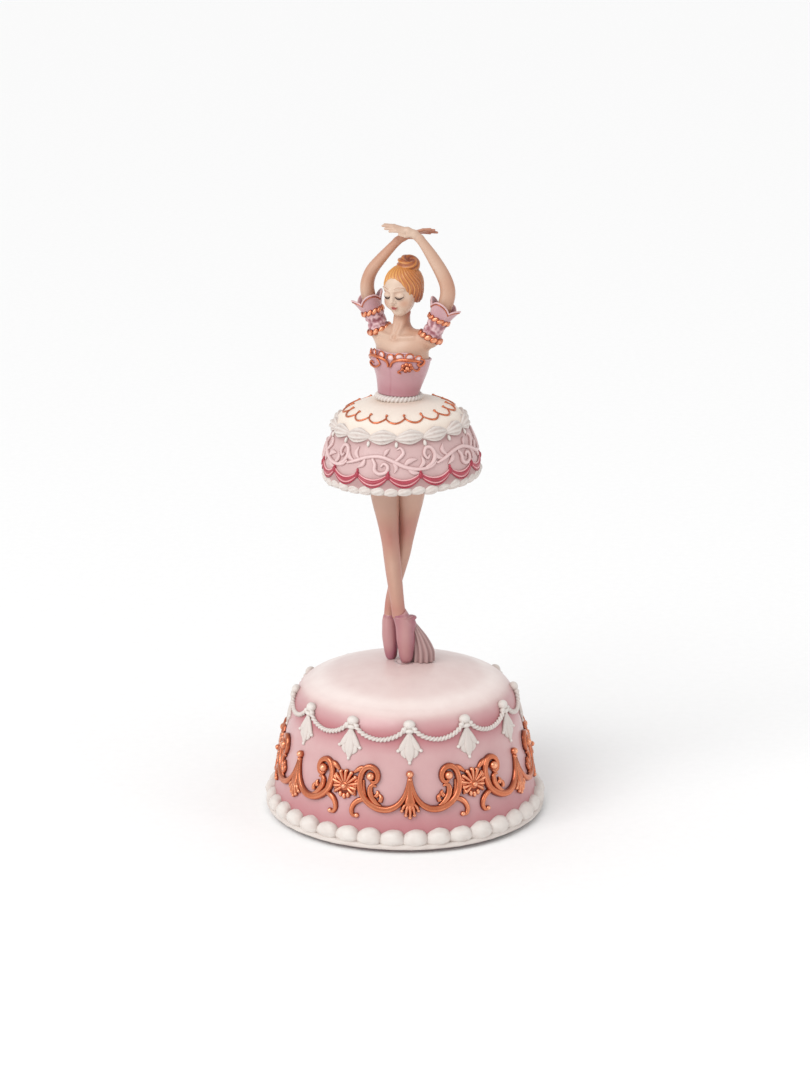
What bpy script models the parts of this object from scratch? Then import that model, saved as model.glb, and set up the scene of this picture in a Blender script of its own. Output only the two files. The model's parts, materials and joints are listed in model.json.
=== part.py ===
"""Musical ballerina figurine: a cake-shaped base that holds a wind-up movement, and a dancer that turns on it.

The frame has +Z up and its origin at the centre of the base's underside. The dancer faces -Y, turned a
little towards -X. Driving sizes are in millimetres, and MM turns them into Blender's metres.
"""

import math

import bmesh
import bpy
from mathutils import Matrix, Vector

MM = 0.001
GAP = 0.3  # left between pieces that touch
SHAFT_CLEARANCE = 0.3  # radial, around every turning shaft
CUT_OVERRUN = 1.0  # how far a cutter runs past a face
MERGE_M = 0.00001
ROUND = 24  # sides of a small round piece
FACING = -30.0  # degrees that the dancer's chest is turned from -Y, about Z

# Base
FOOT_HEIGHT = 1.5
FOOT_RADIUS = 3.4
FOOT_CIRCLE = 53.4
BASE_STEPS = 40
DOME_TOP = 64.5
DOME_CURVE = 111.0
DOME_EDGE = 41.0
RIM_RADIUS = 48.0
RIM_Z = 47.0
WALL_FOOT_RADIUS = 57.5
WALL_FOOT_Z = 3.0
WALL = 4.2
RECESS_RADIUS = 49.5
LIP_RADIUS = 45.0
LIP_Z = (12.0, 15.0)
BORDER_RADIUS = 61.0
SCROLL_Z = (21.0, 45.0)
SCROLL_DEPTH = 1.6

# Cover and winding key
COVER_Z = (9.2, 11.7)
COVER_RADIUS = RECESS_RADIUS - GAP
COVER_HOLE = 3.0
COVER_SCREW_CIRCLE = 47.2
SCREW_SHANK = 1.0
SCREW_HEAD = 2.1
SCREW_HEAD_HEIGHT = 1.2
SCREW_HOLE = SCREW_SHANK + SHAFT_CLEARANCE
ARBOR_RADIUS = 2.0
KEY_LOBE_RADIUS = 3.3
KEY_LOBE_X = 8.6
KEY_LOBE_Z = 5.1
KEY_LOBE_HOLE = 1.5
KEY_THICKNESS = 1.6

# Movement
PLATE_Z = (17.0, 19.0)
POST_RADIUS = 3.0
POSTS = ((-14.0, 0.0), (25.0, -14.0), (25.0, 14.0))
AXIS_Z = 29.0  # height of the cylinder's and the idler's arbors
DRUM_RADIUS = 12.6
DRUM_Z = (20.0, 31.5)
CROWN_TEETH = 40
CROWN_RADIUS = 15.0
CROWN_RING = (13.0, 16.4)
CROWN_FLOOR_Z = 21.6
PINION_TEETH = 8
PINION_X = (14.0, 16.0)
CROWN_MODULE = 2 * CROWN_RADIUS / CROWN_TEETH
ARBOR_THIN = 1.0
CYLINDER_X = (20.5, 33.5)
CYLINDER_RADIUS = 6.5
TRAIN_MODULE = 0.5
CYLINDER_GEAR_TEETH = 24
IDLER_TEETH = 12
TRAIN_X = (34.2, 35.8)
IDLER_Y = TRAIN_MODULE * (CYLINDER_GEAR_TEETH + IDLER_TEETH) / 2
WHEEL_TEETH = 20
WHEEL_X = (36.85, 37.85)
WORM_PITCH = math.pi * TRAIN_MODULE
WORM_RADIUS = 1.4
STEM_RADIUS = 0.68
WORM_X = sum(WHEEL_X) / 2
WORM_Y = IDLER_Y + TRAIN_MODULE * WHEEL_TEETH / 2 + WORM_RADIUS
FAN_RADIUS = 3.6
FAN_Z = (34.8, 39.4)
BRIDGE_THICKNESS = 1.4
COMB_TINES = 18
COMB_Z = AXIS_Z
COMB_THICKNESS = 0.8
COMB_TIP_Y = -6.9

# Turntable
SPINDLE_RADIUS = 1.2
SPINDLE_TOP = 77.0
BUSH_RADIUS = 3.5
BUSH_Z = (58.4, 64.2)

# Skirt
SKIRT_X = -1.8
SKIRT_STEPS = 32
HEM_RADIUS = 31.0
HEM_Z = 148.0
HEM_THICKNESS = 2.1

# Finishes: colour, roughness and metallic value
PINK = ((0.78, 0.46, 0.49), 0.45, 0.0)
COPPER = ((0.62, 0.33, 0.22), 0.4, 0.3)
WHITE = ((0.86, 0.85, 0.81), 0.5, 0.0)
SKIN = ((0.82, 0.60, 0.46), 0.45, 0.0)
ROSE = ((0.70, 0.38, 0.46), 0.4, 0.0)
HAIR = ((0.62, 0.27, 0.08), 0.4, 0.0)
STEEL = ((0.55, 0.56, 0.58), 0.3, 1.0)
BRASS = ((0.72, 0.53, 0.23), 0.3, 1.0)
ZINC = ((0.50, 0.50, 0.50), 0.45, 1.0)
NYLON = ((0.85, 0.84, 0.80), 0.5, 0.0)
BOARD = ((0.30, 0.20, 0.17), 0.8, 0.0)
RUBBER = ((0.05, 0.05, 0.05), 0.8, 0.0)

parts = bpy.data.collections.new("musical_ballerina")
helpers = bpy.data.collections.new("cutters")


def clear_scene():
    for old in list(bpy.data.objects):
        bpy.data.objects.remove(old, do_unlink=True)
    for collection in (parts, helpers):
        bpy.context.scene.collection.children.link(collection)
    helpers.hide_render = True


def paint(name, finish):
    colour, roughness, metallic = finish
    material = bpy.data.materials.new(name)
    material.use_nodes = True
    shader = material.node_tree.nodes["Principled BSDF"]
    shader.inputs["Base Color"].default_value = (*colour, 1.0)
    shader.inputs["Roughness"].default_value = roughness
    shader.inputs["Metallic"].default_value = metallic
    return material


# ---------------------------------------------------------------- shape tools


def place(name, data, finish, matrix=None, collection=None):
    """A new object of this mesh or curve. The matrix is in millimetres."""
    obj = bpy.data.objects.new(name, data)
    (collection or parts).objects.link(obj)
    if finish:
        data.materials.append(paint(name, finish))
    if matrix is not None:
        obj.matrix_world = Matrix.Translation(matrix.to_translation() * MM) @ matrix.to_3x3().to_4x4()
    return obj


def as_mesh(name, bm):
    bmesh.ops.scale(bm, vec=(MM, MM, MM), verts=bm.verts)
    mesh = bpy.data.meshes.new(name)
    bm.to_mesh(mesh)
    bm.free()
    mesh.shade_smooth()
    mesh.set_sharp_from_angle(angle=math.radians(40))
    return mesh


def at(x, y, z):
    return Matrix.Translation((x, y, z))


def along(origin, axis):
    """A matrix whose Z runs along an axis, from an origin."""
    turn = Vector(axis).to_track_quat("Z", "Y").to_matrix().to_4x4()
    return Matrix.Translation(origin) @ turn


ON_X = Matrix.Rotation(math.radians(90), 4, "Y")  # Z of the piece to +X


def turned(name, profile, finish, matrix=None, closed=False, steps=ROUND, collection=None):
    """A lathed piece. Its profile holds (radius, z) and runs from the top down the outer side."""
    bm = bmesh.new()
    verts = [bm.verts.new((r, 0, z)) for r, z in profile]
    for a, b in zip(verts, verts[1:]):
        bm.edges.new((a, b))
    if closed:
        bm.edges.new((verts[-1], verts[0]))
    obj = place(name, as_mesh(name, bm), finish, matrix, collection)
    screw = obj.modifiers.new("lathe", "SCREW")
    screw.steps = screw.render_steps = steps
    screw.use_merge_vertices = True
    screw.merge_threshold = MERGE_M
    screw.use_smooth_shade = True
    return obj


def tube_profile(outer, inner, low, high):
    return [(outer, high), (outer, low), (inner, low), (inner, high)]


def rod_profile(radius, low, high):
    return [(0, high), (radius, high), (radius, low), (0, low)]


def rings_to_solid(name, rings, finish, matrix=None, collection=None):
    """A closed loft through rings of equal length, ordered upwards and seen anticlockwise from above."""
    bm = bmesh.new()
    rows = [[bm.verts.new(p) for p in ring] for ring in rings]
    count = len(rows[0])
    for low, high in zip(rows, rows[1:]):
        for i in range(count):
            j = (i + 1) % count
            bm.faces.new((low[i], low[j], high[j], high[i]))
    bm.faces.new(list(reversed(rows[0])))
    bm.faces.new(rows[-1])
    return place(name, as_mesh(name, bm), finish, matrix, collection)


def column(name, sections, finish, turn=0.0, grow=0.0, sides=16, collection=None):
    """A loft through level ellipses, each given as (z, x, y, half width, half depth), lowest first."""
    angle = math.radians(turn)
    rings = []
    for z, x, y, wide, deep in sections:
        ring = []
        for k in range(sides):
            t = math.tau * k / sides
            u, v = (wide + grow) * math.cos(t), (deep + grow) * math.sin(t)
            ring.append((
                x + u * math.cos(angle) - v * math.sin(angle),
                y + u * math.sin(angle) + v * math.cos(angle),
                z,
            ))
        rings.append(ring)
    return rings_to_solid(name, rings, finish, collection=collection)


def limb(name, path, finish, sides=12):
    """A loft through round sections that stand square to a path of (x, y, z, radius)."""
    points = [Vector(p[:3]) for p in path]
    rings = []
    side = Vector((0, 1, 0))
    for i, p in enumerate(points):
        ahead = (points[min(i + 1, len(points) - 1)] - points[max(i - 1, 0)]).normalized()
        side = (side - ahead * side.dot(ahead)).normalized()
        up = ahead.cross(side)
        radius = path[i][3]
        rings.append([
            p + radius * (math.cos(math.tau * k / sides) * side + math.sin(math.tau * k / sides) * up)
            for k in range(sides)
        ])
    return rings_to_solid(name, rings, finish)


def ellipsoid(name, centre, half, finish, turn=0.0, grow=0.0, collection=None, detail=(20, 12)):
    bm = bmesh.new()
    bmesh.ops.create_uvsphere(bm, u_segments=detail[0], v_segments=detail[1], radius=1.0)
    bmesh.ops.scale(bm, vec=[h + grow for h in half], verts=bm.verts)
    matrix = at(*centre) @ Matrix.Rotation(math.radians(turn), 4, "Z")
    return place(name, as_mesh(name, bm), finish, matrix, collection)


def block(name, low, high, finish, collection=None):
    bm = bmesh.new()
    bmesh.ops.create_cube(bm, size=1.0)
    size = [b - a for a, b in zip(low, high)]
    bmesh.ops.scale(bm, vec=size, verts=bm.verts)
    middle = [(a + b) / 2 for a, b in zip(low, high)]
    return place(name, as_mesh(name, bm), finish, at(*middle), collection)


def circle(radius, x=0.0, y=0.0, sides=20):
    return [
        (x + radius * math.cos(math.tau * k / sides), y + radius * math.sin(math.tau * k / sides))
        for k in range(sides)
    ]


def plate(name, outlines, low, high, finish, matrix=None):
    """A flat piece: the first outline is its edge, the others its holes, from z low to z high."""
    curve = bpy.data.curves.new(name, "CURVE")
    curve.dimensions = "2D"
    curve.fill_mode = "BOTH"
    curve.extrude = (high - low) / 2 * MM
    for outline in outlines:
        spline = curve.splines.new("POLY")
        spline.points.add(len(outline) - 1)
        for point, (x, y) in zip(spline.points, outline):
            point.co = (x * MM, y * MM, 0, 1)
        spline.use_cyclic_u = True
    return place(name, curve, finish, (matrix or Matrix()) @ at(0, 0, (low + high) / 2))


def to_mesh_object(obj):
    """A curve object made a mesh with welded caps, so that it can take a Boolean."""
    graph = bpy.context.evaluated_depsgraph_get()
    mesh = bpy.data.meshes.new_from_object(obj.evaluated_get(graph))
    bm = bmesh.new()
    bm.from_mesh(mesh)
    bmesh.ops.remove_doubles(bm, verts=bm.verts, dist=MERGE_M)
    bm.to_mesh(mesh)
    bm.free()
    name, matrix = obj.name, obj.matrix_world.copy()
    bpy.data.objects.remove(obj)
    made = bpy.data.objects.new(name, mesh)
    parts.objects.link(made)
    made.matrix_world = matrix
    return made


def combine(obj, other, operation):
    """Cuts obj with a helper, or joins the helper to it."""
    other.display_type = "WIRE"
    other.hide_render = True
    boolean = obj.modifiers.new(f"{operation.lower()} {other.name}", "BOOLEAN")
    boolean.operation = operation
    boolean.object = other


def drill(obj, radius, low, high, x=0.0, y=0.0):
    cutter = turned(
        f"drill for {obj.name}", rod_profile(radius, low, high), None, at(x, y, 0), collection=helpers
    )
    combine(obj, cutter, "DIFFERENCE")


def screw(name, x, y, head_z, tip_z, finish=STEEL):
    """A round-headed screw, driven upwards if its tip is above its head, or else downwards."""
    up = 1 if tip_z > head_z else -1
    length = abs(tip_z - head_z)
    edge = 0.4 * SCREW_HEAD_HEIGHT
    profile = [
        (0, length),
        (0.7 * SCREW_SHANK, length),
        (SCREW_SHANK, length - edge),
        (SCREW_SHANK, SCREW_HEAD_HEIGHT),
        (SCREW_HEAD, SCREW_HEAD_HEIGHT),
        (SCREW_HEAD, edge),
        (0.7 * SCREW_HEAD, 0),
        (0, 0),
    ]
    turn = Matrix.Rotation(0 if up > 0 else math.pi, 4, "X")
    return turned(name, profile, finish, at(x, y, head_z) @ turn, steps=12)


# ---------------------------------------------------------------- base


def wall_radius(z):
    """Outer radius of the cake's sloping side."""
    share = (z - WALL_FOOT_Z) / (RIM_Z - WALL_FOOT_Z)
    return WALL_FOOT_RADIUS + share * (RIM_RADIUS - WALL_FOOT_RADIUS)


def dome_z(radius, drop=0.0):
    """Height of the domed top, or of the inside of it where drop is the wall."""
    curve = DOME_CURVE - drop
    return DOME_TOP - DOME_CURVE + math.sqrt(curve**2 - radius**2)


def make_shell():
    hole = BUSH_RADIUS + GAP
    outside = [(r, dome_z(r)) for r in (hole, 14.0, 24.0, 33.0, DOME_EDGE)]
    start, bend, end = (Vector(p) for p in ((DOME_EDGE, dome_z(DOME_EDGE)), (46.8, 54.0), (RIM_RADIUS, RIM_Z)))
    for t in (0.25, 0.5, 0.75, 1.0):
        outside.append(tuple(start * (1 - t) ** 2 + bend * 2 * t * (1 - t) + end * t**2))
    outside += [(WALL_FOOT_RADIUS, WALL_FOOT_Z), (WALL_FOOT_RADIUS - 1.0, FOOT_HEIGHT + GAP)]
    inside = [
        (RECESS_RADIUS, FOOT_HEIGHT + GAP),
        (RECESS_RADIUS, LIP_Z[0]),
        (LIP_RADIUS, LIP_Z[0]),
        (LIP_RADIUS, LIP_Z[1]),
        (wall_radius(LIP_Z[1]) - WALL, LIP_Z[1]),
        (wall_radius(RIM_Z) - WALL, RIM_Z),
        (39.0, dome_z(39.0, WALL)),
    ]
    inside += [(r, dome_z(r, WALL)) for r in (28.0, 16.0, hole)]
    shell = turned("cake_shell", outside + inside, PINK, closed=True, steps=BASE_STEPS)
    for k in range(3):
        x, y = screw_place(k)
        drill(shell, SCREW_HOLE, LIP_Z[0] - CUT_OVERRUN, LIP_Z[1] - 0.4, x, y)


def screw_place(k):
    angle = math.radians(90 + 120 * k)
    return COVER_SCREW_CIRCLE * math.cos(angle), COVER_SCREW_CIRCLE * math.sin(angle)


def make_border():
    """The ring of piped icing round the foot of the cake."""
    inner = WALL_FOOT_RADIUS + GAP
    profile = [
        (inner - 1.2, 9.6),
        (59.0, 9.4),
        (60.6, 7.6),
        (BORDER_RADIUS, 5.0),
        (60.4, 2.6),
        (BORDER_RADIUS - 0.3, 1.9),
        (inner, 1.9),
        (inner, WALL_FOOT_Z + 0.2),
    ]
    turned("base_border", profile, WHITE, closed=True, steps=BASE_STEPS)


def make_scroll_band():
    """The band that the copper scrollwork covers, as its plain thickness on the cake's side."""
    low, high = SCROLL_Z
    outer = [(wall_radius(high) + SCROLL_DEPTH, high), (wall_radius(low) + SCROLL_DEPTH, low)]
    inner = [(wall_radius(low) + GAP, low), (wall_radius(high) + GAP, high)]
    turned("scroll_band", outer + inner, COPPER, closed=True, steps=BASE_STEPS)


def make_feet():
    profile = [(0, FOOT_HEIGHT), (FOOT_RADIUS, FOOT_HEIGHT), (FOOT_RADIUS, 0.5), (FOOT_RADIUS - 0.5, 0), (0, 0)]
    for k in range(4):
        angle = math.radians(45 + 90 * k)
        place_at = at(FOOT_CIRCLE * math.cos(angle), FOOT_CIRCLE * math.sin(angle), 0)
        turned(f"rubber_foot_{k + 1}", profile, RUBBER, place_at, steps=16)


def make_cover():
    holes = [circle(COVER_HOLE)]
    holes += [circle(SCREW_HOLE, *screw_place(k), sides=12) for k in range(3)]
    holes += [circle(SCREW_HOLE, x, y, sides=12) for x, y in POSTS]
    plate("bottom_cover", [circle(COVER_RADIUS, sides=48)] + holes, *COVER_Z, BOARD)
    head_z = COVER_Z[0] - GAP - SCREW_HEAD_HEIGHT
    for k in range(3):
        screw(f"cover_screw_{k + 1}", *screw_place(k), head_z, LIP_Z[1] - 1.0)
    for k, (x, y) in enumerate(POSTS):
        screw(f"movement_screw_{k + 1}", x, y, head_z, LIP_Z[1])


# ---------------------------------------------------------------- winding key


def make_key():
    outline = []
    for side, first in ((1, -130), (-1, 50)):
        for k in range(11):
            t = math.radians(first + 26 * k)
            outline.append((
                side * KEY_LOBE_X + KEY_LOBE_RADIUS * math.cos(t),
                KEY_LOBE_Z + KEY_LOBE_RADIUS * math.sin(t),
            ))
    holes = [circle(KEY_LOBE_HOLE, side * KEY_LOBE_X, KEY_LOBE_Z, 12) for side in (1, -1)]
    upright = Matrix.Rotation(math.radians(90), 4, "X")
    key = plate("winding_key", [outline] + holes, -KEY_THICKNESS / 2, KEY_THICKNESS / 2, ZINC, upright)
    key = to_mesh_object(key)
    socket = turned("key socket", rod_profile(2.6, 3.2, COVER_Z[0] - GAP), None, collection=helpers)
    combine(key, socket, "UNION")
    turned("winding_arbor", rod_profile(ARBOR_RADIUS, COVER_Z[0], DRUM_Z[1] - 1.5), STEEL)
    coil = []
    turns, per_turn = 3, 9
    for k in range(turns * per_turn + 1):
        angle = math.tau * k / per_turn
        rise = COVER_Z[1] + 1.0 + 0.9 * k / per_turn
        coil.append((2.9 * math.cos(angle), 2.9 * math.sin(angle), rise))
    wire("clutch_spring", coil, 0.35, STEEL)


def wire(name, points, radius, finish):
    curve = bpy.data.curves.new(name, "CURVE")
    curve.dimensions = "3D"
    curve.bevel_depth = radius * MM
    curve.bevel_resolution = 2
    curve.use_fill_caps = True
    spline = curve.splines.new("POLY")
    spline.points.add(len(points) - 1)
    for point, co in zip(spline.points, points):
        point.co = (*(c * MM for c in co), 1)
    return place(name, curve, finish)


# ---------------------------------------------------------------- movement


def gear_outline(teeth, module, tip, root, root_share=0.56, tip_share=0.2):
    """The edge of a spur gear. The shares are a tooth's width over the pitch, at its root and its tip."""
    pitch = math.pi * module
    outline = []
    for k in range(teeth):
        middle = math.tau * k / teeth
        root_half = root_share * pitch / 2 / root
        tip_half = tip_share * pitch / 2 / tip
        for offset, radius in ((-root_half, root), (-tip_half, tip), (tip_half, tip), (root_half, root)):
            outline.append((radius * math.cos(middle + offset), radius * math.sin(middle + offset)))
    return outline


def make_bedplate():
    edge = [(-18, -9), (-9, -17), (32, -19), (38, -13), (40.5, 17.5), (37, 22), (-9, 17), (-18, 9)]
    bedplate = to_mesh_object(plate("movement_bedplate", [edge, circle(ARBOR_RADIUS + 0.4)], *PLATE_Z, ZINC))
    for k, (x, y) in enumerate(POSTS):
        post = turned(
            f"post {k + 1}",
            rod_profile(POST_RADIUS, COVER_Z[1] + GAP, PLATE_Z[0] + 1.0),
            None,
            at(x, y, 0),
            steps=16,
            collection=helpers,
        )
        combine(bedplate, post, "UNION")
    pedestal = block("comb pedestal", (20, -18, 18), (34, -12, COMB_Z - GAP), None, helpers)
    combine(bedplate, pedestal, "UNION")
    for x, y in POSTS:
        drill(bedplate, SCREW_HOLE, COVER_Z[1] - CUT_OVERRUN, LIP_Z[1] + 0.5, x, y)
    for x in (23.5, 30.5):
        drill(bedplate, SCREW_HOLE, 23.5, COMB_Z + CUT_OVERRUN, x, -15.5)


def make_comb():
    x0, x1 = 20.0, 34.0
    pitch = (x1 - x0) / COMB_TINES
    outline = [(x0, -18.0), (x1, -18.0)]
    for k in reversed(range(COMB_TINES)):
        left = x0 + pitch * k + 0.14
        right = left + 0.5
        outline += [(right, -12.4), (right, COMB_TIP_Y), (left, COMB_TIP_Y), (left, -12.4)]
    holes = [circle(SCREW_HOLE, x, -15.5, 12) for x in (23.5, 30.5)]
    plate("comb", [outline] + holes, COMB_Z, COMB_Z + COMB_THICKNESS, STEEL)
    top = COMB_Z + COMB_THICKNESS + GAP + SCREW_HEAD_HEIGHT
    for k, x in enumerate((23.5, 30.5)):
        screw(f"comb_screw_{k + 1}", x, -15.5, top, 24.0, BRASS)


def make_bearings():
    """Upright plates that carry the arbors. Their outlines lie in (-z, y), which ON_X stands up."""
    foot = -(PLATE_Z[1] + GAP)

    def upright(name, low_y, high_y, top, arbors, x0, x1):
        edge = [(foot, low_y), (foot, high_y), (-top, high_y), (-top, low_y)]
        holes = [circle(ARBOR_THIN + SHAFT_CLEARANCE, -AXIS_Z, y) for y in arbors]
        plate(name, [edge] + holes, x0, x1, ZINC, ON_X)

    upright("inner_bearing", -4.0, 4.0, 32.5, (0.0,), 17.6, 18.8)
    upright("outer_bearing", -4.0, 12.0, 32.5, (0.0, IDLER_Y), 38.6, 39.8)
    upright("idler_bearing", IDLER_Y - 2.0, IDLER_Y + 2.5, 32.0, (IDLER_Y,), 32.2, 33.2)
    front, back = WORM_Y - 1.6, WORM_Y + FAN_RADIUS + 0.6
    low, high = -foot + BRIDGE_THICKNESS, FAN_Z[1] + 1.6
    edge = [
        (foot, front),
        (foot, back + BRIDGE_THICKNESS),
        (-high - BRIDGE_THICKNESS, back + BRIDGE_THICKNESS),
        (-high - BRIDGE_THICKNESS, front),
        (-high, front),
        (-high, back),
        (-low, back),
        (-low, front),
    ]
    plate("governor_bridge", [edge], WORM_X - 1.2, WORM_X + 1.2, BRASS, ON_X)


def make_barrel():
    floor = DRUM_Z[0] + 1.5
    hole = ARBOR_RADIUS + 0.4
    profile = [
        (DRUM_RADIUS, DRUM_Z[1]),
        (DRUM_RADIUS, DRUM_Z[0]),
        (hole, DRUM_Z[0]),
        (hole, floor),
        (DRUM_RADIUS - 0.9, floor),
        (DRUM_RADIUS - 0.9, DRUM_Z[1]),
    ]
    turned("spring_barrel", profile, BRASS, closed=True, steps=32)
    cap = DRUM_Z[1] + GAP
    post = [
        (0, 40.0),
        (1.6, 40.0),
        (1.6, cap + 1.2),
        (DRUM_RADIUS, cap + 1.2),
        (DRUM_RADIUS, cap),
        (0, cap),
    ]
    turned("barrel_cap", post, BRASS, steps=32)
    make_mainspring(floor + 0.6, DRUM_Z[1] - 0.6)
    make_crown_gear()


def make_mainspring(low, high):
    turns, per_turn, thick = 4, 12, 0.4
    inner, outer = [], []
    for k in range(turns * per_turn + 1):
        angle = math.tau * k / per_turn
        radius = 3.2 + 7.6 * k / (turns * per_turn)
        for side, offset in ((inner, -thick / 2), (outer, thick / 2)):
            side.append(((radius + offset) * math.cos(angle), (radius + offset) * math.sin(angle)))
    plate("mainspring", [outer + inner[::-1]], low, high, STEEL)


def make_crown_gear():
    """A face gear: its teeth stand up from a ring and mesh with the pinion above."""
    pitch_z = AXIS_Z - CROWN_MODULE * PINION_TEETH / 2
    tip_z, root_z = pitch_z + 0.6, pitch_z - 0.8
    root_half, tip_half = 0.22, 0.1  # of the pitch
    bm = bmesh.new()
    stations = []
    for k in range(CROWN_TEETH):
        for share, z in ((-root_half, root_z), (-tip_half, tip_z), (tip_half, tip_z), (root_half, root_z)):
            t = math.tau * (k + 0.5 + share) / CROWN_TEETH
            c, s = math.cos(t), math.sin(t)
            inner, outer = CROWN_RING
            stations.append([
                bm.verts.new(p)
                for p in (
                    (inner * c, inner * s, CROWN_FLOOR_Z),
                    (outer * c, outer * s, CROWN_FLOOR_Z),
                    (outer * c, outer * s, z),
                    (inner * c, inner * s, z),
                )
            ])
    for a, b in zip(stations, stations[1:] + stations[:1]):
        for i in range(4):
            j = (i + 1) % 4
            bm.faces.new((a[i], b[i], b[j], a[j]))
    bmesh.ops.recalc_face_normals(bm, faces=bm.faces)
    place("crown_gear", as_mesh("crown_gear", bm), BRASS)


def make_train():
    """The pinned cylinder with its pinion and gear, the idler, and the worm with its fan."""
    low, high = CYLINDER_X
    on_axis = at(0, 0, AXIS_Z) @ ON_X
    bore = ARBOR_THIN + SHAFT_CLEARANCE
    turned("pinned_cylinder", tube_profile(CYLINDER_RADIUS, bore, low, high), BRASS, on_axis, closed=True)
    turned("cylinder_arbor", rod_profile(ARBOR_THIN, PINION_X[0] - 0.6, 40.2), STEEL, on_axis, steps=16)
    pinion_radius = CROWN_MODULE * PINION_TEETH / 2
    pinion = gear_outline(PINION_TEETH, CROWN_MODULE, pinion_radius + 0.6, 2.1)
    plate("crown_pinion", [pinion, circle(bore, sides=12)], *PINION_X, BRASS, on_axis)
    gear_radius = TRAIN_MODULE * CYLINDER_GEAR_TEETH / 2
    gear = gear_outline(CYLINDER_GEAR_TEETH, TRAIN_MODULE, gear_radius + 0.42, gear_radius - 0.6)
    plate("cylinder_gear", [gear, circle(bore, sides=12)], *TRAIN_X, BRASS, on_axis)

    on_idler = at(0, IDLER_Y, AXIS_Z) @ ON_X
    turned("idler_arbor", rod_profile(ARBOR_THIN, 31.6, 40.2), STEEL, on_idler, steps=16)
    idler_radius = TRAIN_MODULE * IDLER_TEETH / 2
    # half a tooth round, so that a gap faces the cylinder gear's tooth
    half_tooth = Matrix.Rotation(math.pi / IDLER_TEETH, 4, "Z")
    idler = gear_outline(IDLER_TEETH, TRAIN_MODULE, idler_radius + 0.42, idler_radius - 0.6)
    plate("idler_pinion", [idler, circle(bore, sides=12)], *TRAIN_X, BRASS, on_idler @ half_tooth)
    wheel_radius = TRAIN_MODULE * WHEEL_TEETH / 2
    wheel = gear_outline(WHEEL_TEETH, TRAIN_MODULE, wheel_radius + 0.35, wheel_radius - 0.65, 0.46, 0.14)
    plate("worm_wheel", [wheel, circle(bore, sides=12)], *WHEEL_X, NYLON, on_idler)
    make_worm()
    make_fan()


def make_worm():
    """A single right-hand thread on the fan's spindle, as rows that follow the helix and stop at flat ends."""
    columns, steps = 12, 4
    core, crest = 0.7, 1.8
    low, high = AXIS_Z - 2.5, AXIS_Z + 2.5
    # shares of the pitch at which the thread's foot, crest, crest and foot lie
    shares = (0.28, 0.42, 0.58, 0.72)
    turns = math.ceil((high - low) / WORM_PITCH) + 2
    # the wheel's tooth lies halfway between two threads
    start = AXIS_Z - WORM_PITCH * (turns / 2 - 0.25)
    bm = bmesh.new()

    def vertex(row, k):
        turn, step = divmod(row, steps)
        angle = math.tau * k / columns
        z = start + WORM_PITCH * (turn + shares[step] + k / columns)
        radius = crest if step in (1, 2) and low < z < high else core
        return bm.verts.new((radius * math.cos(angle), radius * math.sin(angle), min(max(z, low), high)))

    grid = [[vertex(row, k) for k in range(columns)] for row in range(-steps, steps * (turns + 1))]
    for row in range(len(grid) - 1 - steps):
        for k in range(columns):
            # the last column meets the first one a whole turn of the thread higher
            ahead, beside = (row, k + 1) if k + 1 < columns else (row + steps, 0)
            bm.faces.new((grid[row][k], grid[ahead][beside], grid[ahead + 1][beside], grid[row + 1][k]))
    bmesh.ops.remove_doubles(bm, verts=bm.verts, dist=MERGE_M / MM)
    bmesh.ops.dissolve_degenerate(bm, edges=bm.edges, dist=MERGE_M / MM)
    bmesh.ops.holes_fill(bm, edges=bm.edges)
    bmesh.ops.recalc_face_normals(bm, faces=bm.faces)
    on_axis = at(WORM_X, WORM_Y, 0)
    worm = place("governor_worm", as_mesh("governor_worm", bm), STEEL, on_axis)
    foot = PLATE_Z[1] + GAP + BRIDGE_THICKNESS + GAP
    for name, ends in (("lower stem", (foot, low + 0.5)), ("upper stem", (high - 0.5, FAN_Z[1] + 1.3))):
        stem = turned(name, rod_profile(STEM_RADIUS, *ends), None, on_axis, steps=12, collection=helpers)
        combine(worm, stem, "UNION")


def make_fan():
    """The governor's two-bladed vane and its hub."""
    low, high = FAN_Z
    vane = [(-FAN_RADIUS, low), (FAN_RADIUS, low), (FAN_RADIUS, high), (-FAN_RADIUS, high)]
    on_axis = at(WORM_X, WORM_Y, 0)
    upright = Matrix.Rotation(math.radians(90), 4, "X")
    fan = to_mesh_object(plate("fan_vane", [vane], -0.35, 0.35, NYLON, on_axis @ upright))
    hub = rod_profile(1.6, low - 0.2, high + 0.2)
    combine(fan, turned("fan hub", hub, None, on_axis, steps=12, collection=helpers), "UNION")
    drill(fan, STEM_RADIUS + GAP, low - CUT_OVERRUN, high + CUT_OVERRUN, WORM_X, WORM_Y)


# ---------------------------------------------------------------- turntable


def make_spindle():
    turned("dancer_spindle", rod_profile(SPINDLE_RADIUS, 40.4, SPINDLE_TOP), STEEL, steps=16)
    sleeve = [
        (3.2, 46.0),
        (3.2, 36.0),
        (2.0, 36.0),
        (2.0, 40.2),
        (1.6, 40.2),
        (1.6, 46.0),
    ]
    turned("spindle_coupler", sleeve, BRASS, closed=True, steps=16)
    bush = tube_profile(BUSH_RADIUS, SPINDLE_RADIUS + SHAFT_CLEARANCE, *BUSH_Z)
    turned("spindle_bush", bush, NYLON, closed=True)


# ---------------------------------------------------------------- dancer

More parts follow.
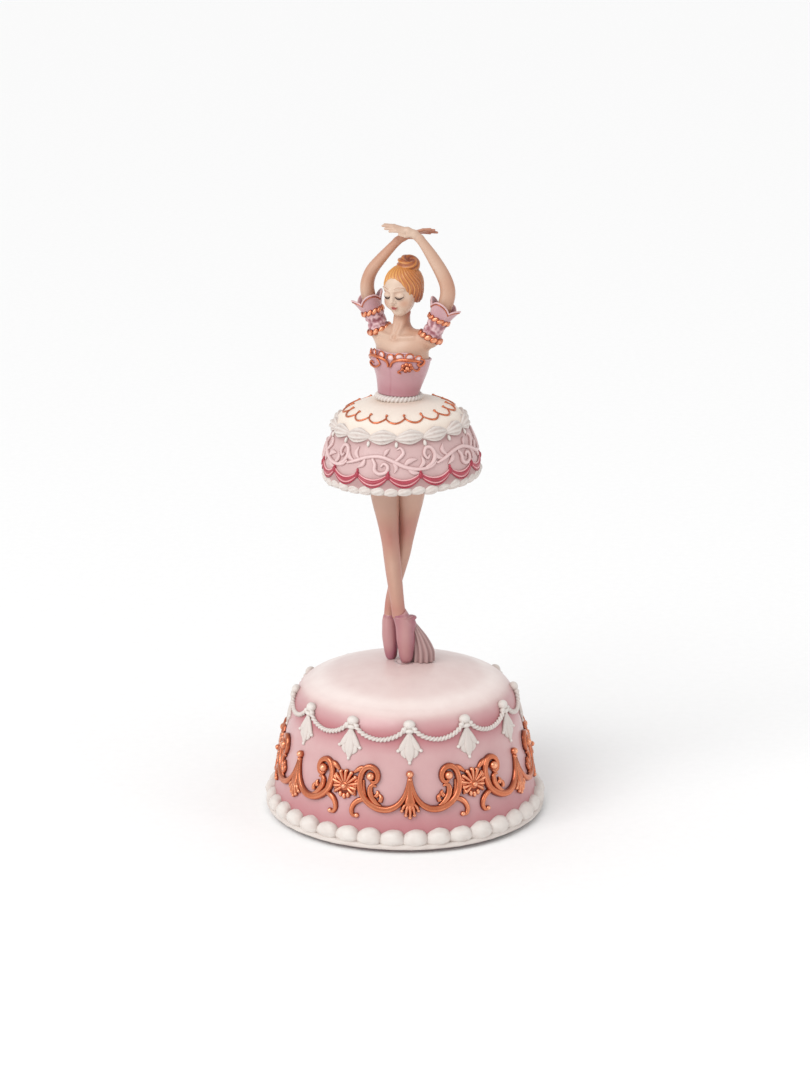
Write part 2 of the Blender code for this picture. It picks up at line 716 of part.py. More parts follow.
# (z, x, y, half width, half depth), lowest first
RIGHT_SHOE = (
    (64.9, 0.1, -0.4, 2.8, 2.8),
    (68.0, 0.2, -0.6, 3.5, 3.4),
    (72.0, 0.4, -0.9, 4.4, 4.0),
    (76.0, 0.2, -1.1, 4.6, 4.1),
    (81.0, -0.4, -1.4, 4.6, 3.8),
    (84.0, -1.2, -1.6, 4.0, 3.4),
    (86.0, -2.6, -1.8, 3.0, 2.9),
)
LEFT_SHOE = (
    (64.9, -6.2, 4.6, 2.6, 2.6),
    (68.0, -6.3, 4.7, 3.3, 3.2),
    (72.0, -6.3, 4.9, 3.6, 3.6),
    (78.0, -6.4, 5.2, 3.6, 3.5),
    (83.0, -6.6, 5.2, 3.0, 3.0),
)
RIGHT_LEG = (
    (86.4, -2.8, -1.8, 2.6, 2.6),
    (92.0, -3.4, -2.0, 2.6, 2.6),
    (103.0, -4.6, -2.4, 3.4, 3.4),
    (115.0, -5.8, -2.4, 3.8, 3.8),
    (122.0, -6.6, -2.2, 4.1, 4.1),
    (138.0, -8.7, -1.0, 5.5, 5.5),
    (160.0, -9.6, -1.0, 6.6, 6.6),
    (172.8, -10.3, -1.0, 7.0, 7.0),
)
LEFT_LEG = (
    (83.4, -6.7, 5.1, 2.5, 2.5),
    (92.0, -5.6, 5.2, 2.5, 2.5),
    (103.0, -2.9, 4.5, 3.3, 3.3),
    (115.0, -0.4, 3.3, 3.6, 3.6),
    (122.0, 0.6, 2.7, 3.9, 3.9),
    (138.0, 2.7, 1.2, 5.4, 5.4),
    (160.0, 4.2, 0.8, 6.5, 6.5),
    (172.8, 4.9, 0.5, 7.0, 7.0),
)
DRAPE = (
    (64.9, 7.0, 1.2, 5.8, 4.4),
    (70.0, 7.0, 1.2, 5.6, 4.2),
    (75.0, 6.0, 1.2, 4.6, 3.6),
    (80.5, 4.4, 1.2, 3.0, 2.6),
)
BODICE = (
    (183.5, -2.8, 0.0, 8.6, 6.6),
    (187.0, -2.2, 0.0, 9.6, 7.3),
    (191.0, -1.7, -0.2, 10.9, 8.2),
    (196.0, -1.4, -0.6, 12.2, 9.6),
    (200.4, -1.2, -0.4, 12.6, 9.4),
)
SHOULDERS = (
    (200.8, -1.2, -0.4, 12.4, 9.0),
    (204.0, -1.0, 0.0, 12.0, 7.6),
    (207.5, -1.4, 0.3, 10.2, 5.8),
    (209.5, -1.6, 0.6, 6.0, 4.6),
    (211.0, -1.4, 0.6, 3.8, 3.8),
    (215.0, -0.9, 0.4, 3.4, 3.6),
)
HEAD_CENTRE = (-0.9, 0.0, 226.0)
HEAD_HALF = (7.3, 8.6, 10.3)
HEAD_TURN = -34.0
HAIR_CENTRE = (-0.1, 1.1, 226.9)
HAIR_HALF = (7.9, 9.0, 10.6)
BUN_CENTRE = (1.8, 2.6, 237.2)
BUN_HALF = (4.8, 4.6, 4.0)
# (x, y, z, radius), from the sleeve to the fingertips
RIGHT_ARM = (
    (-13.6, 6.6, 216.5, 3.0),
    (-15.5, 7.0, 222.4, 2.9),
    (-15.9, 7.0, 226.6, 2.9),
    (-15.2, 6.7, 230.2, 2.7),
    (-13.2, 5.6, 234.2, 2.5),
    (-9.6, 3.4, 238.9, 2.2),
    (-5.6, 1.6, 243.8, 1.9),
    (-2.2, 1.2, 247.6, 1.8),
    (1.8, 1.4, 249.6, 1.9),
    (7.8, 1.5, 250.9, 1.4),
    (13.8, 1.5, 250.4, 0.8),
)
LEFT_ARM = (
    (14.2, -6.8, 215.9, 3.1),
    (16.9, -6.5, 221.6, 3.1),
    (17.8, -6.1, 226.0, 3.1),
    (17.2, -5.9, 230.2, 3.0),
    (15.2, -5.4, 234.5, 2.8),
    (12.0, -4.8, 239.9, 2.5),
    (8.6, -4.4, 245.2, 2.1),
    (5.6, -4.2, 249.0, 1.8),
    (1.4, -4.0, 251.2, 1.9),
    (-4.0, -3.8, 252.6, 1.4),
    (-8.6, -3.6, 253.2, 0.8),
)
# origin at the armhole, and the point at the middle of the flounce's rim
RIGHT_SLEEVE = ((-10.4, 6.0, 208.0), (-15.8, 7.0, 222.2))
LEFT_SLEEVE = ((10.3, -7.0, 207.6), (16.9, -6.6, 221.6))
SLEEVE_LENGTH = 15.3
SLEEVE_PROFILE = (
    (6.4, SLEEVE_LENGTH),
    (5.2, 12.0),
    (4.3, 9.0),
    (4.5, 8.0),
    (3.9, 7.0),
    (4.0, 3.0),
    (4.8, 0.8),
    (4.2, 0.0),
    (0.0, 0.0),
)
CUP_PROFILE = ((0.0, 8.5), (3.5, 8.5), (4.5, 12.0), (5.8, SLEEVE_LENGTH))
SKIRT_OUTSIDE = (
    (0.0, 180.3),
    (9.6, 180.2),
    (15.0, 178.8),
    (22.9, 175.6),
    (26.4, 172.4),
    (27.6, 169.5),
    (29.3, 165.4),
    (31.2, 161.0),
    (32.3, 155.5),
    (32.7, 150.5),
)
SKIRT_INSIDE = ((30.2, 150.5), (29.6, 156.0), (27.4, 163.0), (24.6, 168.6), (20.0, 173.0), (0.0, 175.0))


def make_legs():
    shoe = column("right_shoe", RIGHT_SHOE, ROSE)
    drill(shoe, SPINDLE_RADIUS + GAP, 63.0, SPINDLE_TOP + GAP)
    column("left_shoe", LEFT_SHOE, ROSE)
    column("right_leg", RIGHT_LEG, SKIN)
    column("left_leg", LEFT_LEG, SKIN)
    drape = column("pleated_drape", DRAPE, ROSE)
    for sections, name in ((RIGHT_SHOE, "right shoe"), (LEFT_SHOE, "left shoe")):
        combine(drape, column(f"room for the {name}", sections, None, grow=0.5, collection=helpers), "DIFFERENCE")


def make_skirt():
    centre = at(SKIRT_X, 0, 0)
    turned("cake_skirt", SKIRT_OUTSIDE + SKIRT_INSIDE, PINK, centre, steps=SKIRT_STEPS)
    hem = [
        (HEM_RADIUS + HEM_THICKNESS * math.sin(t), HEM_Z + HEM_THICKNESS * math.cos(t))
        for t in (math.tau * k / 6 for k in range(6))
    ]
    turned("hem_piping", hem, WHITE, centre, closed=True, steps=SKIRT_STEPS)
    shells = [(28.3, 172.2), (30.2, 171.0), (30.7, 169.2), (29.8, 167.7), (28.8, 168.0), (27.3, 171.6)]
    turned("shell_piping", shells, WHITE, centre, closed=True, steps=SKIRT_STEPS)
    band = [(0, 183.2), (8.6, 183.2), (9.2, 182.4), (9.3, 181.4), (8.9, 180.6), (0, 180.6)]
    turned("waist_band", band, WHITE, at(-2.6, 0, 0))


def make_sleeve(name, ends, grow=0.0, collection=None):
    origin, rim = (Vector(p) for p in ends)
    profile = [(r + grow if r else r, z - grow if z == 0 else z) for r, z in SLEEVE_PROFILE]
    if collection:
        profile = [(0.0, SLEEVE_LENGTH)] + profile
    else:
        profile = list(CUP_PROFILE) + profile
    matrix = along(origin, rim - origin)
    return turned(name, profile, None if collection else ROSE, matrix, steps=16, collection=collection)


def make_body():
    column("bodice", BODICE, ROSE, turn=FACING, sides=20)
    shoulders = column("shoulders", SHOULDERS, SKIN, turn=FACING, sides=20)
    for name, ends in (("right_sleeve", RIGHT_SLEEVE), ("left_sleeve", LEFT_SLEEVE)):
        make_sleeve(name, ends)
        room = make_sleeve(f"room for {name}", ends, 0.35, helpers)
        combine(shoulders, room, "DIFFERENCE")
    limb("right_arm", RIGHT_ARM, SKIN)
    limb("left_arm", LEFT_ARM, SKIN)


def make_head():
    ellipsoid("head", HEAD_CENTRE, HEAD_HALF, SKIN, HEAD_TURN)
    hair = ellipsoid("hair", HAIR_CENTRE, HAIR_HALF, HAIR, HEAD_TURN)
    room = ellipsoid("room for the head", HEAD_CENTRE, HEAD_HALF, None, HEAD_TURN, GAP, helpers)
    combine(hair, room, "DIFFERENCE")
    face = block("room for the face", (-20, -20, 200), (20, 20, 240), None, helpers)
    face.matrix_world = (
        Matrix.Translation(Vector((-4.8, -7.0, 218.0)) * MM)
        @ Matrix.Rotation(math.radians(HEAD_TURN), 4, "Z")
        @ Matrix.Rotation(math.radians(-24), 4, "X")
        @ Matrix.Translation(Vector((0, -12.5, 8)) * MM)
    )
    combine(hair, face, "DIFFERENCE")
    bun = ellipsoid("hair_bun", BUN_CENTRE, BUN_HALF, HAIR, detail=(16, 10))
    under = ellipsoid("room for the hair", HAIR_CENTRE, HAIR_HALF, None, HEAD_TURN, GAP, helpers)
    combine(bun, under, "DIFFERENCE")


# ---------------------------------------------------------------- moving pieces

MOVING = {
    "key_wind": ((0, 0, 0), ("winding_key", "winding_arbor", "clutch_spring")),
    "cylinder_turn": (
        (0, 0, AXIS_Z),
        ("pinned_cylinder", "cylinder_arbor", "crown_pinion", "cylinder_gear"),
    ),
    "idler_turn": ((0, IDLER_Y, AXIS_Z), ("idler_arbor", "idler_pinion", "worm_wheel")),
    "fan_spin": ((WORM_X, WORM_Y, AXIS_Z), ("governor_worm", "fan_vane")),
    "dancer_turn": (
        (0, 0, DOME_TOP),
        (
            "spring_barrel",
            "barrel_cap",
            "mainspring",
            "crown_gear",
            "spindle_coupler",
            "dancer_spindle",
            "pleated_drape",
            "right_shoe",
            "left_shoe",
            "right_leg",
            "left_leg",
            "cake_skirt",
            "hem_piping",
            "shell_piping",
            "waist_band",
            "bodice",
            "shoulders",
            "right_sleeve",
            "left_sleeve",
            "right_arm",
            "left_arm",
            "head",
            "hair",
            "hair_bun",
        ),
    ),
}


def hang_moving_pieces():
    """Each moving piece hangs from an empty on its joint's axis."""
    for joint, (centre, names) in MOVING.items():
        pivot = bpy.data.objects.new(joint, None)
        pivot.location = Vector(centre) * MM
        parts.objects.link(pivot)
        bpy.context.view_layer.update()
        for name in names:
            obj = bpy.data.objects[name]
            obj.parent = pivot
            obj.matrix_parent_inverse = pivot.matrix_world.inverted()


def main():
    clear_scene()
    make_shell()
    make_border()
    make_scroll_band()
    make_feet()
    make_cover()
    make_key()
    make_bedplate()
    make_comb()
    make_bearings()
    make_barrel()
    make_train()
    make_spindle()
    make_legs()
    make_skirt()
    make_body()
    make_head()
    hang_moving_pieces()


main()
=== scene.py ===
"""Looks of the musical ballerina: a painted resin dancer on a cake-shaped base with a wind-up movement.

Pieces are made in millimetres, in the CAD model's frame, and shrunk to metres when they become objects.
Each one carries a "tone" from 0 to 1 at every vertex, which its paint reads as a place on a ramp of colours.
The tone picks some real paint colours, such as lips and bands, and it also carries painted light and shade:
painted highlights where a form stands proud, painted shade in hollows, creases and under things, and on
sides turned from the light.
"""

import json
import math

import bpy
import numpy as np
import openvdb
from mathutils import Matrix, Vector, noise


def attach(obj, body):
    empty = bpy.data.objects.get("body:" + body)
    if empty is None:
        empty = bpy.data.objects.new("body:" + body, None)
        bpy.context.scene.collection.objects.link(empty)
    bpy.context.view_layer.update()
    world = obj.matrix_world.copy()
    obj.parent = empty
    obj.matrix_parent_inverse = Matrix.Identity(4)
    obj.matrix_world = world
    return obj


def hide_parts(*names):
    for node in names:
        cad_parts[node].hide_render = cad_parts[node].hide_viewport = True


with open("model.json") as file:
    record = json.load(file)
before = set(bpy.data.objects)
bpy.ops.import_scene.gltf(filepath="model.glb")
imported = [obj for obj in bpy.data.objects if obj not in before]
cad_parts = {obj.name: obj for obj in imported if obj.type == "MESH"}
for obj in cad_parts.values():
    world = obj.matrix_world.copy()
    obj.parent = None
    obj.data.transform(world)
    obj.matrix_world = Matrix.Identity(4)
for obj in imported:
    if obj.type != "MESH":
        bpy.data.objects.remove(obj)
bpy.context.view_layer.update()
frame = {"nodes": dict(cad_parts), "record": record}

MM = 0.001
PATCH_SCALE = 170  # noise cells in a metre: soft patches of paint
GRAIN_SCALE = 1400  # and the fine grain
FACING = math.radians(-30)  # the chest's turn from -Y
FORWARD = np.array((math.sin(FACING), -math.cos(FACING), 0.0))
DOLL_LEFT = np.array((math.cos(FACING), math.sin(FACING), 0.0))

# Base, in millimetres
DOME_TOP = 64.5
DOME_CURVE = 111.0
RIM = (48.0, 47.0)
WALL_FOOT = (57.5, 3.0)
DOME_THICKNESS = 4.2
RECESS_RADIUS = 49.5
SWAGS = 12
SWAG_TURN = 2.2  # degrees
GARLAND_TWIST = 90.0  # radians along one swag
SCROLLS = 6
BORDER_BEADS = 37
BEAD_FLAT = 2.0  # the beads end here, inside the ring below them

# Skirt
SKIRT_CENTRE = np.array((-1.8, 0.0, 160.0))
SKIRT_TILT = math.radians(-2.0)
SKIRT_PROFILE = (
    (8.0, 180.4), (15.0, 178.9), (20.0, 177.2), (23.6, 175.2), (26.2, 172.6), (27.5, 169.4), (29.3, 165.2),
    (31.1, 160.6), (32.3, 155.6), (32.9, 151.0), (32.7, 148.4),
)
WHITE_EDGE_Z = 170.5  # where the white icing of the skirt's top ends


# ---------------------------------------------------------------- paint


def linear(colour):
    """A colour with channels from 0 to 255 in display space, as the linear RGBA that shaders take."""
    channels = [value / 255 for value in colour]
    return (*[c / 12.92 if c <= 0.04045 else ((c + 0.055) / 1.055) ** 2.4 for c in channels], 1)


def new_material(name, values):
    """A material, and a function that adds a node with values and sources for its inputs."""
    material = bpy.data.materials.new(name)
    material.use_nodes = True
    tree = material.node_tree

    def node(kind, values, sources):
        made = kind if isinstance(kind, bpy.types.Node) else tree.nodes.new(kind)
        for socket, value in values.items():
            made.inputs[socket].default_value = value
        for socket, source in sources.items():
            tree.links.new(source, made.inputs[socket])
        return made

    shader = node(tree.nodes["Principled BSDF"], values, {})
    return material, shader, node


def noise_of(node, scale, detail):
    """A noise pattern fixed to the object."""
    place = node("ShaderNodeTexCoord", {}, {}).outputs["Object"]
    return node("ShaderNodeTexNoise", {"Scale": scale, "Detail": detail}, {"Vector": place}).outputs["Fac"]


def colour_ramp(node, source, stops, interpolation="LINEAR"):
    ramp = node("ShaderNodeValToRGB", {}, {"Fac": source})
    ramp.color_ramp.interpolation = interpolation
    for i, (at, colour) in enumerate(stops):
        elements = ramp.color_ramp.elements
        element = elements[i] if i < 2 else elements.new(at)
        element.position = at
        element.color = colour
    return ramp.outputs["Color"]


def finish_surface(node, shader, colour, gloss_source, gloss_range, bump_source, bump_values):
    """Links the colour, the roughness and the fine relief of a surface to its shader."""
    least, most = gloss_range
    strength, depth = bump_values
    gloss = node("ShaderNodeMapRange", {"To Min": least, "To Max": most}, {"Value": gloss_source})
    bump = node("ShaderNodeBump", {"Strength": strength, "Distance": depth * MM}, {"Height": bump_source})
    node(shader, {}, {
        "Base Color": colour, "Roughness": gloss.outputs["Result"], "Normal": bump.outputs["Normal"],
    })


def ramp_paint(name, stops, roughness=0.45, coat=0.0, metallic=0.0, mottle=0.08, grain=0.05, sheen=0.0):
    """Painted resin: a ramp of colours over the tone, uneven in large soft patches, with a fine grain."""
    values = {"Metallic": metallic, "Coat Weight": coat, "Coat Roughness": 0.25, "Sheen Weight": sheen}
    material, shader, node = new_material(name, values)
    tone = node("ShaderNodeAttribute", {}, {})
    tone.attribute_name = "tone"
    patches = noise_of(node, PATCH_SCALE, 3)
    uneven = node("ShaderNodeMath", {1: 2 * mottle, 2: -mottle}, {0: patches})
    uneven.operation = "MULTIPLY_ADD"
    total = node("ShaderNodeMath", {}, {0: tone.outputs["Fac"], 1: uneven.outputs[0]})
    total.use_clamp = True
    colours = [(at, linear(colour)) for at, colour in stops]
    colour = colour_ramp(node, total.outputs[0], colours, "EASE" if len(stops) == 2 else "LINEAR")
    glossy = (roughness - 0.08, roughness + 0.1)
    finish_surface(node, shader, colour, patches, glossy, noise_of(node, GRAIN_SCALE, 4), (0.6, grain))
    return material


def metal(name, colour, roughness, scratches=600.0, metallic=1.0):
    """Machined metal or moulded plastic of the movement, with streaks along the turning marks."""
    material, shader, node = new_material(name, {"Metallic": metallic})
    streaks = noise_of(node, scratches, 5)
    bright = linear(colour)
    dark = (*[c * 0.72 for c in bright[:3]], 1)
    ramp = colour_ramp(node, streaks, [(0.3, dark), (0.7, bright)])
    finish_surface(node, shader, ramp, streaks, (roughness - 0.1, roughness + 0.12), streaks, (0.3, 0.02))
    return material


def paper(name):
    """Matt white studio paper, very slightly uneven."""
    material, shader, node = new_material(name, {"Roughness": 0.95, "Specular IOR Level": 0.1})
    fibres = noise_of(node, 260, 2)
    greys = [(0.0, (0.93, 0.93, 0.93, 1)), (1.0, (0.97, 0.97, 0.97, 1))]
    node(shader, {}, {"Base Color": colour_ramp(node, fibres, greys)})
    return material


PEARL_PINK = ramp_paint(
    "pearl_pink_paint",
    ((0.0, (241, 226, 221)), (0.3, (216, 188, 184)), (0.6, (198, 153, 154)), (1.0, (178, 106, 112))),
    0.34, coat=0.3, mottle=0.06,
)
ICING = ramp_paint(
    "icing_white_paint",
    ((0.0, (222, 215, 209)), (0.6, (202, 188, 181)), (1.0, (156, 128, 122))),
    0.5, grain=0.14,
)
CREAM = ramp_paint(
    "cream_icing_paint", ((0.0, (240, 230, 218)), (0.6, (218, 198, 184)), (1.0, (172, 140, 126))), 0.46
)
COPPER = ramp_paint(
    "copper_paint",
    ((0.0, (246, 176, 138)), (0.35, (204, 114, 76)), (0.75, (142, 62, 38)), (1.0, (70, 26, 15))),
    0.2, coat=0.35, metallic=0.8, mottle=0.12,
)
CRIMSON = ramp_paint(
    "crimson_paint", ((0.0, (226, 170, 172)), (0.35, (204, 92, 106)), (1.0, (156, 34, 56))), 0.38, coat=0.25
)
ROSE = ramp_paint(
    "rose_paint",
    ((0.0, (212, 174, 176)), (0.4, (184, 138, 144)), (0.75, (166, 106, 115)), (1.0, (130, 60, 68))),
    0.36, coat=0.25, sheen=0.1,
)
SKIRT_PINK = ramp_paint(
    "skirt_pink_paint", ((0.0, (230, 201, 199)), (0.5, (179, 142, 140)), (1.0, (146, 98, 99))), 0.4, coat=0.2
)
SKIN = ramp_paint(
    "skin_paint",
    (
        (0.0, (217, 196, 177)), (0.3, (198, 159, 136)), (0.5, (184, 131, 105)), (0.7, (176, 106, 92)),
        (0.85, (166, 60, 64)), (1.0, (74, 42, 32)),
    ),
    0.4, coat=0.15, mottle=0.035, grain=0.03,
)
LEG_SKIN = ramp_paint(
    "leg_skin_paint",
    ((0.0, (218, 184, 165)), (0.4, (189, 145, 126)), (0.7, (178, 116, 104)), (1.0, (146, 88, 76))),
    0.42, coat=0.12, mottle=0.035, grain=0.03,
)
HAIR = ramp_paint(
    "hair_paint", ((0.0, (224, 166, 88)), (0.45, (190, 116, 64)), (1.0, (134, 70, 52))), 0.36, coat=0.25
)
SHOE = ramp_paint(
    "shoe_satin_paint",
    ((0.0, (188, 141, 138)), (0.4, (173, 118, 121)), (0.7, (153, 90, 105)), (1.0, (112, 42, 52))),
    0.34, coat=0.3,
)
BODICE_PEARL = ramp_paint(
    "bodice_pearl_paint",
    ((0.0, (230, 204, 203)), (0.5, (206, 163, 167)), (1.0, (166, 108, 116))),
    0.3, coat=0.4,
)
BUSH_PINK = ramp_paint("dome_pink_paint", ((0.0, (222, 194, 191)), (1.0, (206, 172, 170))), 0.4, coat=0.1)
DRAPE_PAINT = ramp_paint(
    "drape_paint", ((0.0, (190, 160, 156)), (0.5, (164, 131, 129)), (1.0, (112, 74, 76))), 0.46
)
LASH = ramp_paint("lash_paint", ((0.0, (206, 160, 132)), (0.5, (140, 92, 70)), (1.0, (58, 36, 30))), 0.5)


# ---------------------------------------------------------------- curves


def bell(value, centre, width):
    """1 at the centre, falling smoothly to nothing at about twice the width on both sides."""
    return np.exp(-(((value - centre) / width) ** 2))


def rising(value, at, sharp):
    """From 0 to 1 as the value passes this place, or from 1 to 0 where the sharpness is negative."""
    return 1 / (1 + np.exp(-(value - at) * sharp))


def near(points, centre, reach):
    """1 at a centre, falling smoothly to nothing at about twice the reach."""
    return np.exp(-(((np.asarray(points) - centre) / reach) ** 2).sum(-1))


def cloud(points, scale, seed=0.0):
    """Smooth noise from -1 to 1 at each point, with features of that size in millimetres."""
    return np.array([noise.noise(Vector(p) / scale + Vector((seed, seed, seed))) for p in points])


def compass(sides):
    """Angles evenly round a full turn."""
    return math.tau * np.arange(sides) / sides


def oval(angles, wide, deep, z):
    """Points round the Z axis at these angles, with these half sizes, at this height."""
    return np.stack([wide * np.cos(angles), deep * np.sin(angles), np.broadcast_to(z, angles.shape)], -1)


def bearing(turn):
    """The directions outwards and round at this many radians from -Y."""
    return np.array((math.sin(turn), -math.cos(turn), 0.0)), np.array((math.cos(turn), math.sin(turn), 0.0))


def spline(points, count):
    """A smooth curve through points of any dimension, sampled evenly by parameter."""
    points = np.asarray(points, float)
    padded = np.vstack([2 * points[0] - points[1], points, 2 * points[-1] - points[-2]])
    out = []
    for t in np.linspace(0, len(points) - 1, count):
        i = min(int(t), len(points) - 2)
        u = t - i
        a, b, c, d = padded[i : i + 4]
        square, cube = 2 * a - 5 * b + 4 * c - d, 3 * b - a - 3 * c + d
        out.append(0.5 * (2 * b + (c - a) * u + square * u**2 + cube * u**3))
    return np.array(out)


# ---------------------------------------------------------------- shapes


class Shape:
    """Vertices in millimetres, faces, and the tone of each vertex."""

    def __init__(self):
        self.points, self.tones, self.faces, self.count = [], [], [], 0

    def add(self, points, faces, tones=0.0):
        """More points, with faces that number them from 0."""
        points = np.asarray(points, float).reshape(-1, 3)
        self.points.append(points)
        self.tones.append(np.broadcast_to(np.asarray(tones, float).reshape(-1), (len(points),)))
        self.faces.append([[self.count + i for i in face] for face in faces])
        self.count += len(points)

    def loft(self, rows, tones=0.0, caps=True, ring=False):
        """Rings of equal length, anticlockwise seen from the end. With ring, the last joins the first."""
        rows = np.asarray(rows, float)
        n, m = rows.shape[:2]
        tones = np.broadcast_to(np.asarray(tones, float), (n, m)).reshape(-1)
        faces = []
        for i in range(n if ring else n - 1):
            a, b = i * m, (i + 1) % n * m
            faces += [(a + j, a + (j + 1) % m, b + (j + 1) % m, b + j) for j in range(m)]
        points = rows.reshape(-1, 3)
        if caps and not ring:
            points = np.vstack([points, rows[0].mean(0), rows[-1].mean(0)])
            tones = np.append(tones, (tones[:m].mean(), tones[-m:].mean()))
            faces += [((j + 1) % m, j, n * m) for j in range(m)]
            last = (n - 1) * m
            faces += [(last + j, last + (j + 1) % m, n * m + 1) for j in range(m)]
        self.add(points, faces, tones)

    def moved(self, matrix):
        """Turned and shifted by a 4x4 matrix in millimetres."""
        matrix = np.array(matrix)
        self.points = [p @ matrix[:3, :3].T + matrix[:3, 3] for p in self.points]
        return self

    def make(self, name, paint, body, slot, replaces=()):
        """Makes the object that rides this body and stands in for these CAD nodes."""
        mesh = bpy.data.meshes.new(name)
        faces = [face for chunk in self.faces for face in chunk]
        mesh.from_pydata((np.vstack(self.points) * MM).tolist(), [], faces)
        mesh.shade_smooth()
        mesh.attributes.new("tone", "FLOAT", "POINT").data.foreach_set("value", np.concatenate(self.tones))
        mesh.materials.append(paint)
        obj = bpy.data.objects.new(name, mesh)
        bpy.context.scene.collection.objects.link(obj)
        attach(obj, body)
        if replaces:
            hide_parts(*replaces)
        return obj


def turned(profile, sides, tone=None, wobble=None):
    """A closed or axis-to-axis lathe of (radius, z) rows, lowest first on the outside."""
    rows, tones = [], []
    angles = compass(sides)
    for radius, z in profile:
        r = radius + (wobble(angles, radius, z) if wobble and radius > 0.01 else 0)
        rows.append(oval(angles, r, r, z))
        tones.append(np.full(sides, tone(radius, z) if tone else 0.0))
    return rows, tones


def ellipsoid(shape, centre, half, matrix=None, sides=16, tone=0.0, bend=None):
    """A ball stretched to half sizes in the matrix's frame. bend moves its unit-ball points."""
    angles = compass(sides)
    polars = np.linspace(0.04, math.pi - 0.04, sides // 2 + 2)[::-1]
    ball = np.array([oval(angles, np.sin(p), np.sin(p), np.cos(p)) for p in polars])
    tones = np.broadcast_to(tone(ball) if callable(tone) else tone, ball.shape[:2])
    if bend:
        ball = bend(ball)
    points = ball * np.asarray(half, float)
    if matrix is not None:
        points = points @ np.array(matrix).T
    shape.loft(points + np.asarray(centre, float), tones)


def tube(shape, path, radii, sides=10, tone=0.0, ripple=None):
    """A round tube through points, each with its radius."""
    path = np.asarray(path, float)
    radii = np.broadcast_to(np.asarray(radii, float), (len(path),))
    ahead = np.gradient(path, axis=0)
    ahead /= np.linalg.norm(ahead, axis=1, keepdims=True) + 1e-12
    side = np.cross(ahead[0], (0.3, 0.2, 1.0))
    rows = []
    angles = compass(sides)
    for i, (p, r) in enumerate(zip(path, radii)):
        side = side - ahead[i] * side.dot(ahead[i])
        side /= np.linalg.norm(side)
        up = np.cross(ahead[i], side)
        spread = r * (1 + ripple(angles, i / (len(path) - 1))) if ripple else np.full(sides, r)
        rows.append(p + spread[:, None] * (np.cos(angles)[:, None] * side + np.sin(angles)[:, None] * up))
    shape.loft(rows, tone)


class Field:
    """Soft clay: a distance field on a grid, to which round forms are added and from which they are cut."""

    def __init__(self, low, high, voxel):
        self.low, self.voxel = np.asarray(low, float), voxel
        counts = [int((b - a) / voxel) + 1 for a, b in zip(low, high)]
        axes = [a + voxel * np.arange(n, dtype=np.float32) for a, n in zip(low, counts)]
        self.p = np.stack(np.meshgrid(*axes, indexing="ij"), -1)
        self.d = np.full(counts, 1e3, np.float32)

    def join(self, other, soft):
        self.d = smooth_join(self.d, other, soft)

    def cut(self, other, soft):
        self.d = -smooth_join(-self.d, other, soft)

    def ball(self, centre, half, turn=None):
        q = self.p - np.asarray(centre, np.float32)
        if turn is not None:
            q = q @ np.array(turn, np.float32)
        half = np.asarray(half, np.float32) * np.ones(3, np.float32)
        k = np.linalg.norm(q / half, axis=-1)
        return k * (k - 1) / (np.linalg.norm(q / half**2, axis=-1) + 1e-6)

    def cone(self, a, b, ra, rb):
        a, b = np.asarray(a, np.float32), np.asarray(b, np.float32)
        along = b - a
        h = np.clip(((self.p - a) @ along) / along.dot(along), 0, 1)
        return np.linalg.norm(self.p - a - h[..., None] * along, axis=-1) - (ra + (rb - ra) * h)

    def chain(self, path, soft):
        """Joins tapered rods through (x, y, z, radius) points."""
        for a, b in zip(path, path[1:]):
            self.join(self.cone(a[:3], b[:3], a[3], b[3]), soft)

    def shape(self, tone=None):
        grid = openvdb.FloatGrid(float(self.d.max()))
        grid.copyFromArray(np.ascontiguousarray(self.d))
        points, quads = grid.convertToQuads()
        points = points * self.voxel + self.low
        quads = quads.astype(int)
        corner = points[quads]
        volume = np.einsum("ij,ij->i", corner[:, 0], np.cross(corner[:, 1], corner[:, 2])).sum()
        if volume < 0:
            quads = quads[:, ::-1]
        made = Shape()
        made.add(points, quads.tolist(), tone(points) if tone else 0.0)
        return made


def smooth_join(a, b, soft):
    """Two distance fields run together, with a fillet between them."""
    h = np.clip(0.5 + 0.5 * (a - b) / soft, 0, 1)
    return a * (1 - h) + b * h - soft * h * (1 - h)


def roughen(shape, depth, size):
    """Small lumps all over, as hand-piped icing has."""
    for k, points in enumerate(shape.points):
        away = points - points.mean(0)
        away /= np.linalg.norm(away, axis=1, keepdims=True) + 1e-9
        lumps = cloud(points, size, 3.1) + 0.45 * cloud(points, size / 2.7, 8.3)
        shape.points[k] = points + away * (depth * lumps)[:, None]
        # painted highlights on the lumps and painted shade in the dips between them
        shape.tones[k] = (shape.tones[k] - 0.22 * lumps).clip(0, 1)


def cord_tones(rows, sides, twists):
    """Tones of a twisted cord: painted shade between its strands."""
    t = np.linspace(0, 1, rows)[:, None]
    angles = compass(sides)
    return 0.3 - 0.28 * np.cos(2 * angles + twists * t)


def merge(shape, other):
    """Adds another shape's faces to this one."""
    offset = shape.count
    shape.points += other.points
    shape.tones += other.tones
    shape.faces += [[[i + offset for i in face] for face in chunk] for chunk in other.faces]
    shape.count += other.count


# ---------------------------------------------------------------- relief on round walls


